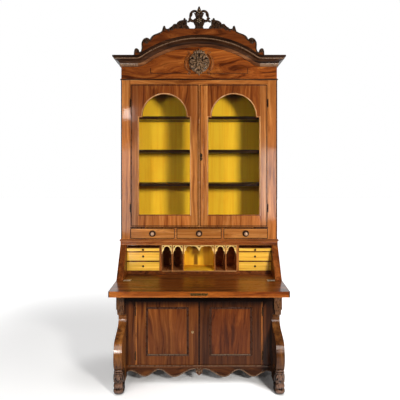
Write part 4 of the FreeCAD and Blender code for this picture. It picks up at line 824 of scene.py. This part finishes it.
bone = yellow_paint("polished bone", (198, 160, 128), (160, 118, 88), streaks=0.4, coat=1.0)
for word in ("left", "middle", "right"):
    low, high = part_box(word + "_frieze_knob")
    centre = ((low.x + high.x) / 2, high.y, (low.z + high.z) / 2)
    knob = bmesh.new()
    turned(knob, knob_outline, centre, OUTWARD)
    finish_piece(knob, word + "_knob_rosette", word + "_frieze", [knob_dark],
                 [word + "_frieze_knob"])
    button = bmesh.new()
    turned(button, button_outline, centre, OUTWARD)
    finish_piece(button, word + "_knob_button", word + "_frieze", [bone])
    edge_bead(word + "_drawer_lip", word + "_frieze", word + "_frieze_drawer", 0.0025, 0.005, 0.0012)

# Glazed doors: frames with an arched head of its own tone and the grain upright. The left hinge stile is a
# darker copy of the wood, painted shade, the right one more polished and the inner stiles a paler copy, and
# the tops of the left stiles darken with painted shade. A thin bead round the pane is pale with a painted
# highlight and dark along its foot with painted shade. The panes are old clear glass, set in a rebate behind
# the bead.
door_wood = polished("glazed door rosewood", GRAIN_UP, (132, 66, 25), (182, 108, 47), (206, 132, 66),
                     swirl=0.15, streak=0.5, coat=0.35, haze=0.12, fine=2.2)
hinge_wood = polished("hinge stile rosewood", GRAIN_UP, (110, 56, 22), (150, 88, 40), (176, 112, 58),
                      swirl=0.15, streak=0.5, coat=0.35, haze=0.12, fine=2.2)
hinge_top_shade, inner_top_shade, left_only = (1.62, 1.76), (1.7, 1.9), (0.002, -0.002)
# Painted shade darkens the upper part of the left hinge stile.
discolour(hinge_wood, tint(92, 36, 8), ease(where_on(hinge_wood)["Z"], *hinge_top_shade, 0.0, 0.45))
glare_wood = polished("right hinge stile rosewood", GRAIN_UP, (122, 63, 26), (166, 102, 48), (188, 124, 66),
                      swirl=0.15, streak=0.5, coat=0.62, haze=0.12, fine=2.2)
inner_wood = polished("inner stile rosewood", GRAIN_UP, (142, 78, 35), (195, 125, 61), (220, 152, 85),
                      swirl=0.15, streak=0.5, coat=0.35, haze=0.12, fine=2.2)
where = where_on(inner_wood)
# Painted shade darkens the upper part of the left inner stile.
top_shade = ease(where["Z"], *inner_top_shade, 0.0, 0.6)
discolour(inner_wood, tint(112, 44, 8), top_shade, ease(where["X"], *left_only))
head_wood = polished("glazed door head rosewood", GRAIN_UP, (92, 42, 14), (136, 70, 26), (164, 96, 42),
                     swirl=0.3, streak=0.5, coat=0.25, haze=0.12, fine=2.0)
# Pale bead wood: a painted highlight.
bead_highlight_wood = polished("bead wood with painted highlight", GRAIN_UP, (176, 118, 66), (214, 160, 104), (236, 192, 142), coat=0.5)
door_shoulder, inner_stile, hinge_stile, head_end = 1.893, 0.06, 0.452, 0.454


def door_side(middle, facing):
    """The arched head, the hinge stile of each door, the inner stiles or the foot rails."""
    aside = abs(middle.x)
    if middle.z > door_shoulder and inner_stile < aside < head_end:
        return 1
    if aside < hinge_stile:
        return 4 if aside < inner_stile else 0
    return 2 if middle.x < 0 else 3


dress("left_glazed_door right_glazed_door", door_wood, head_wood, hinge_wood, glare_wood, inner_wood,
      choose=door_side)
glass, tree, place = new_finish("old window glass")
ripple = cloud(place, (9.0, 9.0, 5.0), 1.0)
set_finish(glass, {"Base Color": lay(ripple, tint(252, 253, 250), tint(246, 250, 244)),
                   "Roughness": ease(ripple, 0.3, 0.7, 0.01, 0.03), "IOR": 1.45,
                   "Transmission Weight": 1.0})
path = put(tree, "LightPath").outputs
passing = maths("MAXIMUM", path["Is Shadow Ray"], path["Is Diffuse Ray"])
passing = maths("MAXIMUM", passing, path["Is Glossy Ray"])
pane = tree.nodes["Principled BSDF"].outputs[0]
clear = put(tree, "BsdfTransparent").outputs[0]
both = put(tree, "MixShader", {0: passing, 1: pane, 2: clear}).outputs[0]
tree.links.new(both, tree.nodes["Material Output"].inputs["Surface"])
dress("left_glass right_glass", glass)
door_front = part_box("left_glazed_door")[0].y
arch_radius, arch_steps, foot_run = 0.169, 24, 0.01
for side in ("left", "right"):
    low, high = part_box(side + "_glass")
    middle, shoulder = (low.x + high.x) / 2, high.z - arch_radius
    window = [(high.x, shoulder), (high.x, low.z), (low.x, low.z), (low.x, shoulder)]
    for step in range(arch_steps + 1):
        turn = math.pi * (1 - step / arch_steps)
        window.append((middle + arch_radius * math.cos(turn), shoulder + arch_radius * math.sin(turn)))
    bead = bmesh.new()
    roll(bead, [(x, door_front + 0.001, z) for x, z in window + window[:1]], 0.008, 0.003)
    # The foot of the pane bead takes the dark edge finish: painted shade.
    for face in bead.faces:
        face.material_index = int(face.calc_center_median().z < low.z + foot_run)
    finish_piece(bead, side + "_pane_bead", side + "_glazed_leaf", [bead_highlight_wood, gap_shade_wood])
    edge_bead(side + "_door_lip", side + "_glazed_leaf", side + "_glazed_door", 0.007, 0.0065, 0.0015)
meeting_x = 0.021
meeting = bmesh.new()
roll(meeting, [(meeting_x, door_front, up) for up in (1.084, 1.4, 1.8, 2.122)], 0.024, 0.0009, 12)
finish_piece(meeting, "meeting_strip", "right_glazed_leaf", [case_upright])

# Cupboard doors: framed rosewood doors, each with a flat panel inside a dark rounded moulding that is mitred
# at the corners and pinned round the panel. The right door is a darker copy, painted shade; painted shade
# also lies under the flap, beside the legs and along the meeting line, and the hinge edges and the lower
# run of the moulding carry a painted highlight.
cupboard_wood = polished("cupboard rosewood", GRAIN_UP, (82, 39, 13), (126, 68, 27), (156, 92, 40),
                         swirl=0.12, streak=0.3, fine=2.2)
panel_wood = polished("cupboard panel rosewood", GRAIN_UP, (84, 39, 14), (126, 66, 26), (156, 90, 39),
                      swirl=0.3, streak=0.3, fine=1.6)
# Darker copies for the right door and its panel: painted shade.
shaded_wood = polished("right cupboard rosewood in painted shade", GRAIN_UP, (54, 25, 9), (84, 43, 17), (106, 58, 26),
                       swirl=0.12, streak=0.3, fine=2.2)
shaded_panel = polished("right cupboard panel rosewood in painted shade", GRAIN_UP, (68, 29, 10), (106, 51, 18),
                        (134, 71, 29), swirl=0.3, streak=0.3, fine=1.6)
moulding_wood = carved("dark panel moulding", (34, 17, 8), (70, 39, 20), coat=0.12)
# Paler finish for the lower run of the moulding: painted highlight.
moulding_highlight = carved("panel moulding painted highlight", (58, 40, 28), (124, 98, 76))
leg_shadow_reach, flap_shadow_reach, shade_tint = (0.485, 0.515), (0.522, 0.585), tint(22, 10, 5)
hinge_edge, meeting_shade = (0.437, 0.4395), (0.0075, 0.0045)


def paint_light_and_shade(finish, edge_light=None):
    """Paint shade on a finish under the flap and beside the legs; a door also gets a painted highlight along
    its hinge edge and painted shade along the meeting line.
    """
    where = where_on(finish)
    aside = maths("ABSOLUTE", where["X"])
    # Painted shadow of the legs.
    discolour(finish, shade_tint, ease(aside, *leg_shadow_reach, 0.0, 0.7))
    if edge_light:
        patchy = ease(cloud(where["Place"], (12.0, 12.0, 16.0)), 0.3, 0.5, 0.2, 0.9)
        # Painted highlight along the hinge edge, then painted shade along the meeting line.
        discolour(finish, edge_light, ease(aside, *hinge_edge), patchy)
        discolour(finish, tint(18, 9, 4), ease(aside, *meeting_shade, 0.0, 0.9))
    # Painted shadow of the flap, its edge broken up by noise.
    shade_smudge = cloud(where["Place"], (14.0, 14.0, 14.0))
    height = maths("ADD", where["Z"], times(shade_smudge, 0.03))
    discolour(finish, shade_tint, ease(height, *flap_shadow_reach, 0.0, 0.75))


paint_light_and_shade(cupboard_wood, tint(196, 122, 58))
paint_light_and_shade(shaded_wood, tint(186, 112, 52))
for plain in (panel_wood, shaded_panel, stile_upright, shaded_upright):
    paint_light_and_shade(plain)
dress("left_cupboard_door", cupboard_wood)
dress("right_cupboard_door", shaded_wood)
moulding_steps = ((0.002, 0.003), (0.003, 0.0015), (0.003, 0.0), (0.003, -0.002), (0.002, -0.004),
                  (0.002, 0.0))
panel_set, lower_band = 0.0035, 0.03
for side, field_wood in (("left", panel_wood), ("right", shaded_panel)):
    low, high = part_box(side + "_cupboard_panel")
    panel = bmesh.new()
    block(panel, (low.x, low.y + panel_set, low.z), high)
    field = [face for face in panel.faces if face.normal.y < -0.9]
    for width, rise in moulding_steps:
        border = bmesh.ops.inset_region(panel, faces=field, thickness=width, depth=rise,
                                        use_even_offset=True)
        for strip in border["faces"]:
            lower_run = strip.calc_center_median().z < low.z + lower_band
            strip.material_index = 2 if lower_run and strip.normal.z > 0.3 else 1
    finish_piece(panel, side + "_moulded_panel", side + "_cupboard_leaf",
                 [field_wood, moulding_wood, moulding_highlight], [side + "_cupboard_panel"], 60.0)

# Hood: the pediment board in wild-grained rosewood with a thin dark line let into it, pine boards nailed
# behind and a small dark bead glued under it.
pediment_wood = polished("pediment rosewood", GRAIN_ACROSS, (78, 33, 10), (143, 72, 25), (178, 103, 42),
                         swirl=0.5, streak=0.5, fine=1.5)
bead_dark = polished("dark bead wood", GRAIN_ACROSS, (30, 16, 8), (58, 32, 16), (90, 56, 30))
dress("pediment_board", pediment_wood)
dress("pediment_bead", bead_dark)
dress("hood_boards", pine_across, case_upright, choose=lambda middle, facing: abs(facing.x) > 0.7)
line_low, line_high, line_half, line_wide, line_proud = 2.211, 2.25, 0.36, 0.005, 0.0012
pediment_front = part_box("pediment_board")[0].y
inlay = bmesh.new()
for side in (-1, 1):
    upright = [(side * line_half, pediment_front, up) for up in (line_low - line_wide / 2, line_high)]
    roll(inlay, upright, line_wide, line_proud)
roll(inlay, [(end * line_half, pediment_front, line_low) for end in (-1, 1)], line_wide, line_proud)
finish_piece(inlay, "pediment_line", "case", [bead_dark])

# Cornice: run mouldings of dark rosewood bent over the arch and returned along both sides. The bead under
# the cap and the small foot fillet are pale with a painted highlight, and the cap and the cove stay dark.
cornice_wood = polished("cornice rosewood", GRAIN_ACROSS, (34, 18, 9), (64, 38, 21), (92, 58, 34),
                        swirl=0.15, streak=0.5, coat=0.25)
cap_wood = polished("cornice cap rosewood", GRAIN_ACROSS, (28, 15, 8), (50, 30, 18), (74, 48, 30),
                    swirl=0.15, streak=0.5, coat=0.15)
foot_fillet = polished("cornice foot rosewood", GRAIN_ACROSS, (78, 44, 24), (118, 72, 42), (150, 102, 66),
                       coat=0.5)
# Pale bead and fillet finish: a painted highlight.
cornice_bead_highlight = carved("cornice bead painted highlight", (78, 56, 40), (140, 108, 82), coat=0.5)
case_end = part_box("pediment_board")[1].x
level_end, cap_out, bead_out, fillet_out, facing_out = 0.45, 0.051, 0.042, 0.0105, 0.4


def cornice_side(middle, facing):
    """Tell the bead, the cap, the foot fillet and the cove apart by how far they stand out."""
    front_out, side_out = pediment_front - middle.y, abs(middle.x) - case_end
    ahead = abs(facing.x) if side_out > front_out else -facing.y
    out = max(front_out, side_out)
    if out > cap_out:
        return 2
    if ahead > facing_out and out > bead_out:
        return 1
    if ahead > facing_out and out < fillet_out:
        return 1 if abs(middle.x) > level_end else 3
    return 0


dress("cornice", cornice_wood, cornice_bead_highlight, cap_wood, foot_fillet, choose=cornice_side)

# Crest: a fretted rosewood board standing on the cornice, gouged and stained dark near its middle, with a
# dark carved edge that rolls into scrolls and leaves.
crest_wood = polished("crest rosewood", GRAIN_ACROSS, (70, 32, 12), (110, 54, 21), (140, 76, 32), swirl=0.4,
                      streak=0.5, fine=1.4)
crest_dark = carved("dark crest carving", (16, 10, 6), (70, 48, 31), coat=0.6, haze=0.12)
where = where_on(crest_wood)
stain_up, stain_half = (2.522, 2.53), (0.2, 0.185)
aside = maths("ABSOLUTE", where["X"])
gouged = ease(cloud(where["Place"], (110.0, 110.0, 110.0)), 0.42, 0.66)
stain = lay(gouged, tint(26, 15, 9), tint(96, 64, 44))
discolour(crest_wood, stain, ease(where["Z"], *stain_up), ease(aside, *stain_half))
dress("crest_panel", crest_wood)
arch_middle, arch_round, level_top = 1.7293, 0.7517, 2.335


def over_cornice(x):
    """Height of the cornice top."""
    return max(arch_middle + math.sqrt(arch_round ** 2 - min(abs(x), level_end) ** 2), level_top)


crest_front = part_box("crest_panel")[0].y
gap_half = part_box("crest_carving")[1].x
crest_line = rim("crest_panel",
                 lambda spot: spot.x < -gap_half - 0.0005 and spot.z > over_cornice(spot.x) + 0.004)
crest_edge = bmesh.new()
roll(crest_edge, [point + Vector((0.0, 0.003, -0.002)) for point in crest_line], 0.012)
crest_scrolls = (((-0.457, 2.366), -math.pi / 2, -1.1, 0.011, 0.003, 0.009),
                 ((-0.386, 2.434), -math.pi * 0.9, -1.4, 0.022, 0.004, 0.012),
                 ((-0.204, 2.524), math.pi, -1.2, 0.012, 0.004, 0.008),
                 ((-0.174, 2.544), math.pi, -1.2, 0.016, 0.004, 0.009),
                 ((-0.138, 2.558), math.pi, -1.2, 0.018, 0.004, 0.009),
                 ((-0.106, 2.572), math.pi, -1.2, 0.013, 0.004, 0.008))
for (x, z), start, turns, outer, inner, width in crest_scrolls:
    roll(crest_edge, curl((x, crest_front - 0.001, z), start, turns, outer, inner), width)
    berry(crest_edge, (x, crest_front - 0.002, z), width * 0.6)
crest_leaves = (((-0.36, 2.438), (-0.334, 2.466), 0.012), ((-0.252, 2.508), (-0.254, 2.54), 0.013),
                ((-0.218, 2.506), (-0.228, 2.522), 0.012), ((-0.19, 2.514), (-0.196, 2.54), 0.014),
                ((-0.158, 2.524), (-0.162, 2.56), 0.015), ((-0.122, 2.53), (-0.124, 2.572), 0.015),
                ((-0.097, 2.545), (-0.098, 2.575), 0.012), ((-0.104, 2.58), (-0.106, 2.6), 0.01),
                ((-0.1, 2.552), (-0.07, 2.527), 0.016), ((-0.098, 2.54), (-0.076, 2.522), 0.014))
for (foot_x, foot_z), (tip_x, tip_z), width in crest_leaves:
    leaf(crest_edge, (foot_x, crest_front, foot_z), (tip_x, crest_front - 0.002, tip_z), width, 0.008)
for x, z, radius in ((-0.457, 2.364, 0.0125), (-0.254, 2.538, 0.0095), (-0.106, 2.596, 0.008),
                     (-0.152, 2.545, 0.006), (-0.188, 2.528, 0.006)):
    berry(crest_edge, (x, crest_front + 0.002, z), radius)
mirror_over(crest_edge)
finish_piece(crest_edge, "crest_edge_carving", "case", [crest_dark])

# Crest urn: the pierced middle of the crest, a carved urn with a flower on its front and leaves above,
# between two C-scroll ears, joined to the board by short leaf bars.
urn_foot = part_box("crest_carving")[0].z
urn_set, urn_flat, drawn_half = 0.011, 0.36, 0.088
urn_scale = gap_half / drawn_half
on_urn = measured_from(0.0, crest_front, urn_foot)
urn_outline = ((0.0, 0.0), (0.032, 0.0), (0.033, 0.008), (0.028, 0.014), (0.03, 0.022), (0.037, 0.034),
               (0.041, 0.048), (0.042, 0.06), (0.04, 0.07), (0.03, 0.077), (0.024, 0.082), (0.027, 0.087),
               (0.0, 0.09))
urn = bmesh.new()
turned(urn, [(radius * urn_scale, up) for radius, up in urn_outline], (0.0, 0.0, 0.0), (0.0, 0.0, 1.0), 24)
settle(urn, urn.verts[:], (1.0, urn_flat, 1.0), on_urn(0.0, urn_set, 0.0))
for lean in (-2, -1, 0, 1, 2):
    tip = on_urn(0.014 * lean, -0.002, 0.026 + 0.003 * abs(lean))
    leaf(urn, on_urn(0.011 * lean, -0.001, 0.004), tip, 0.012, 0.006)
frame_line, frame_steps = [], 24
for step in range(frame_steps + 1):
    turn = 2 * math.pi * step / frame_steps
    frame_line.append(on_urn(0.031 * math.sin(turn), -0.002, 0.054 + 0.029 * math.cos(turn)))
roll(urn, frame_line, 0.008)
crown_leaves = ((0.0, 0.163, 0.034), (0.024, 0.133, 0.024), (0.037, 0.113, 0.018), (0.031, 0.091, 0.014))
for across, up, width in crown_leaves:
    for lean in (-1, 1) if across else (1,):
        foot = on_urn(0.25 * lean * across, 0.006, 0.084 + 0.2 * across)
        leaf(urn, foot, on_urn(lean * across, 0.004, up), width, 0.011)
ear = ((0.086, 0.052, 0.013), (0.075, 0.055, 0.016), (0.066, 0.066, 0.018), (0.0655, 0.084, 0.015),
       (0.065, 0.1, 0.015), (0.06, 0.114, 0.017), (0.049, 0.125, 0.019), (0.034, 0.13, 0.019),
       (0.018, 0.128, 0.015))
bar = ((0.036, 0.056, 0.024), (0.05, 0.058, 0.021), (0.064, 0.06, 0.017))


def drawn(points, parts=4):
    """Draw a smooth line through points, each a place and a width, with so many steps between two points."""
    points = [Vector(point) for point in points]
    line = []
    for number in range(len(points) - 1):
        here, ahead = points[number], points[number + 1]
        before = points[max(number - 1, 0)]
        after = points[min(number + 2, len(points) - 1)]
        for step in range(parts):
            part = step / parts
            bend = 2 * here + (ahead - before) * part
            bend += (2 * before - 5 * here + 4 * ahead - after) * part ** 2
            line.append((bend + (3 * here - 3 * ahead + after - before) * part ** 3) / 2)
    return line + [points[-1]]


for side in (-1, 1):
    for band in (drawn(ear), bar):
        route = [on_urn(side * x * urn_scale, urn_set, up) for x, up, width in band]
        roll(urn, route, [width for x, up, width in band], 0.009)
    roll(urn, curl(on_urn(side * 0.066, 0.005, 0.07), 0.0, 1.1 * side, 0.012, 0.003), 0.008)
    leaf(urn, on_urn(side * 0.05, 0.007, 0.116), on_urn(side * 0.058, 0.007, 0.084), 0.012, 0.008)
plain_faces = set(urn.faces)
flower = on_urn(0.0, -0.006, 0.055)
for petal in range(6):
    away = spoke(math.pi * (petal / 3 + 1 / 6))
    leaf(urn, flower + away * 0.004, flower + away * 0.021, 0.011, 0.005)
berry(urn, on_urn(0.0, -0.009, 0.055), 0.005)
crown_berries = ((0.0, 0.113, 0.008), (-0.012, 0.122, 0.006), (0.012, 0.122, 0.006), (0.0, 0.134, 0.006))
for x, up, radius in crown_berries:
    berry(urn, on_urn(x, -0.006, up), radius)
# The flower and the berries take a paler finish: painted highlight.
for face in urn.faces:
    face.material_index = int(face not in plain_faces)
urn_highlight = carved("urn carving painted highlight", (58, 44, 30), (150, 126, 98), coat=0.6)
finish_piece(urn, "crest_urn", "case", [crest_dark, urn_highlight], ["crest_carving"])

# Cartouche: a carved oval glued to the pediment, a cluster of flowers and leaves inside two C-scroll bands,
# with a leaf crest above and a pointed drop below.
shell_up = 2.293
on_shell = measured_from(0.0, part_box("cartouche")[1].y, shell_up)
shell = bmesh.new()
dome = bmesh.ops.create_uvsphere(shell, u_segments=24, v_segments=12, radius=1.0)["verts"]
settle(shell, dome, (0.077, 0.013, 0.075), on_shell(0.0, 0.0, 0.0))
roll(shell, curl(on_shell(0.0, -0.004, 0.0), 0.0, 1.0, 0.073, 0.073, 32), 0.012)
taper = [0.02 - 0.012 * step / CURL_STEPS for step in range(CURL_STEPS + 1)]
inner_berries = ((0.012, -0.02, 0.01), (0.02, -0.052, 0.009), (0.05, -0.012, 0.009), (0.062, 0.03, 0.008))
for side in (-1, 1):
    upper, lower = on_shell(0.036 * side, -0.01, 0.014), on_shell(0.032 * side, -0.01, -0.036)
    roll(shell, curl(upper, math.pi / 2 - 0.6 * side, 1.25 * side, 0.032, 0.006), taper)
    roll(shell, curl(lower, -math.pi / 2, -1.1 * side, 0.022, 0.005), [0.8 * width for width in taper])
    for lean in (0.1, 0.75, 1.4):
        away = Vector((side * math.sin(lean), 0.0, math.cos(lean)))
        foot = on_shell(0.01 * side, -0.014, 0.004)
        leaf(shell, foot + away * 0.016, foot + away * 0.058, 0.022, 0.012)
    for x, up, radius in inner_berries:
        berry(shell, on_shell(x * side, -0.014, up), radius)
for around in range(6):
    berry(shell, on_shell(0.0, -0.019, 0.0) + spoke(around * math.pi / 3) * 0.013, 0.008, 0.8)
berry(shell, on_shell(0.0, -0.021, 0.0), 0.008)
outer_berries = ((0.055, 0.004, 0.014), (0.05, -0.034, 0.013), (0.03, -0.058, 0.012), (0.05, 0.04, 0.012),
                 (0.024, 0.05, 0.011))
for x, up, radius in outer_berries:
    for side in (-1, 1):
        berry(shell, on_shell(x * side, -0.011, up), radius, 0.7)
for lean in (-2, -1, 1, 2, 0):
    leaf(shell, on_shell(0.01 * lean, -0.004, 0.056), on_shell(0.02 * lean, -0.006, 0.1 - 0.009 * abs(lean)),
         0.022, 0.012)
    leaf(shell, on_shell(0.012 * lean, -0.004, -0.054),
         on_shell(0.015 * lean, -0.006, -0.1 + 0.013 * abs(lean)), 0.022, 0.011)
shell_carving = carved("dark cartouche carving", (18, 10, 6), (140, 107, 76), coat=1.0, haze=0.1)
finish_piece(shell, "cartouche_flowers", "case", [shell_carving], ["cartouche"])
band_wood = carved("carved pediment rosewood", (58, 26, 10), (158, 92, 44), coat=0.5)
bands = bmesh.new()
bow_open, bow_steps = 58, 20
band_widths = [0.01 + 0.014 * math.sin(math.pi * step / bow_steps) for step in range(bow_steps + 1)]
for side in (-1, 1):
    bow = []
    for step in range(bow_steps + 1):
        turn = math.radians(-bow_open + 2 * bow_open * step / bow_steps)
        bow.append(on_shell(side * (0.016 + 0.083 * math.cos(turn)), -0.001, 0.08 * math.sin(turn) - 0.006))
    roll(bands, bow, band_widths, 0.012)
    for end in (-1, 1):
        spot = on_shell(side * 0.074, -0.002, end * 0.074 - 0.006)
        roll(bands, curl(spot, 0.0 if side > 0 else math.pi, 1.0 * side * end, 0.013, 0.004), 0.008)
finish_piece(bands, "cartouche_bands", "case", [band_wood])

# Studio: a wide pale floor that runs out to a white backdrop, its glow painted down into shadows round
# the case, a lamp on the right, a weaker one on the left, and pale cards and small low lamps that show only
# in the polish.
floor_shape = bmesh.new()
edge_front, edge_back, edge_side = -4.6, 16.0, 14.0
plane = bmesh.ops.create_grid(floor_shape, x_segments=1, y_segments=1, size=1.0)["verts"]
floor_half, floor_middle = (edge_back - edge_front) / 2, (edge_back + edge_front) / 2
settle(floor_shape, plane, (edge_side, floor_half, 1.0), (0.0, floor_middle, 0.0))
floor_paint, tree, place = new_finish("pale floor")
floor = add_object(floor_shape, "studio_floor", [floor_paint])
path = put(tree, "LightPath").outputs
shade = lay(path["Is Camera Ray"], (0.18, 0.18, 0.18, 1.0), (0.86, 0.86, 0.86, 1.0))
matt = put(tree, "BsdfDiffuse", {"Color": shade}).outputs[0]
direct = maths("MAXIMUM", path["Is Camera Ray"], path["Is Transmission Ray"])
seen = maths("MAXIMUM", direct, path["Is Glossy Ray"])
parts = put(tree, "SeparateXYZ", {0: place}).outputs
across, forward = parts["X"], parts["Y"]
shadow_middle, left_foot = (-1.0, 0.6, 0.0), (-0.7, 0.05, 0.0)
shadow_reach, foot_reach, front_fade, open_floor = (0.4, 2.2), (0.1, 0.4), (-1.8, -0.7), (0.22, 0.54)
away = vectors("DISTANCE", place, shadow_middle)["Value"]
near_foot = vectors("DISTANCE", place, left_foot)["Value"]
open_sky = put(tree, "AmbientOcclusion", {"Distance": 0.3}, samples=8).outputs["AO"]
bright = times(ease(away, *shadow_reach, 0.4, 0.9), ease(forward, *front_fade))
bright = times(bright, ease(open_sky, *open_floor))
bright = times(bright, ease(near_foot, *foot_reach, 0.65, 1.0))
slant_edge, right_edge, rear_edge, front_edge = (0.2, 0.3), (0.6, 0.54), (0.1, 0.0), (-0.6, -1.4)
slant = maths("ADD", across, forward)
right_shade = times(ease(slant, *slant_edge), ease(across, *right_edge))
right_shade = times(right_shade, ease(forward, *rear_edge))
bright = times(bright, maths("SUBTRACT", 1.0, right_shade))
ahead = times(direct, ease(forward, *front_edge))
strength = maths("MAXIMUM", times(seen, bright), ahead)
glow = put(tree, "Emission", {"Strength": strength}).outputs[0]
both = put(tree, "AddShader", {0: matt, 1: glow}).outputs[0]
tree.links.new(both, tree.nodes["Material Output"].inputs["Surface"])

world = bpy.data.worlds.new("studio")
bpy.context.scene.world = world
world.use_nodes = True
tree = world.node_tree
path = put(tree, "LightPath").outputs
seen = maths("MAXIMUM", path["Is Camera Ray"], path["Is Transmission Ray"])
heading = put(tree, "TexCoord").outputs["Generated"]
backward = put(tree, "SeparateXYZ", {0: heading}).outputs["Y"]
mirrored = times(path["Is Glossy Ray"], ease(backward, 0.6, 0.9, 0.04, 0.9))
spread = maths("SUBTRACT", 1.0, path["Is Glossy Ray"])
lit = maths("ADD", mirrored, times(spread, ease(backward, 0.0, 0.6, 0.18, 0.7)))
feed(tree.nodes["Background"], {"Color": (1.0, 1.0, 1.0, 1.0), "Strength": maths("MAXIMUM", seen, lit)})


def lamp(name, spot, aim, power, width, height, soft=True, gloss=True, spread=180.0):
    """Stand a lamp or card that faces a point; soft light falls on surfaces, gloss shows in the polish."""
    light = bpy.data.lights.new(name, "AREA")
    light.shape = "RECTANGLE"
    light.energy = power
    light.size = width
    light.size_y = height
    light.color = (1.0, 0.97, 0.93)
    light.spread = math.radians(spread)
    stand = bpy.data.objects.new(name, light)
    stand.location = spot
    stand.rotation_euler = (Vector(aim) - Vector(spot)).to_track_quat("-Z", "Y").to_euler()
    stand.visible_camera = False
    stand.visible_diffuse = soft
    stand.visible_glossy = gloss
    bpy.context.collection.objects.link(stand)


case_middle = (0.0, 0.0, 1.2)
lamp("right lamp", (1.55, -2.93, 1.82), case_middle, 104.0, 0.5, 0.36, gloss=False)
lamp("left lamp", (-1.02, -2.93, 1.85), (-0.7, 0.0, 1.15), 4.4, 0.28, 0.28, gloss=False, spread=70.0)
lamp("right spark", (1.42, -2.93, 1.82), case_middle, 8.0, 0.2, 0.2, soft=False)
lamp("left spark", (-1.02, -2.93, 2.26), case_middle, 2.15, 0.13, 0.14, soft=False)
lamp("right card", (1.04, -2.96, 1.26), (0.5, 0.0, 1.2), 11.5, 0.32, 1.0, soft=False)
lamp("left card", (-1.07, -2.96, 1.16), (-0.5, 0.0, 1.2), 8.0, 0.28, 1.2, soft=False)
for side, word, power in ((1, "right", 0.3), (-1, "left", 2.4)):
    lamp(word + " glint", (0.862 * side, -2.0, 0.46), (0.54 * side, -0.2, 0.4), power, 0.1, 0.1, soft=False)

# Camera: level, square to the front and at the eye height of a person who stands, with the lens shifted
# down so that the uprights stay parallel.
camera = bpy.data.cameras.new("camera")
camera.sensor_width = 36.0
camera.lens = 38.7
camera.shift_x = 0.00225
camera.shift_y = -0.0875
stand = bpy.data.objects.new("camera", camera)
stand.location = (0.0, -3.154, 1.533)
stand.rotation_euler = (math.pi / 2, 0.0, 0.0)
bpy.context.collection.objects.link(stand)
bpy.context.scene.camera = stand
bpy.context.scene.view_settings.view_transform = "Standard"
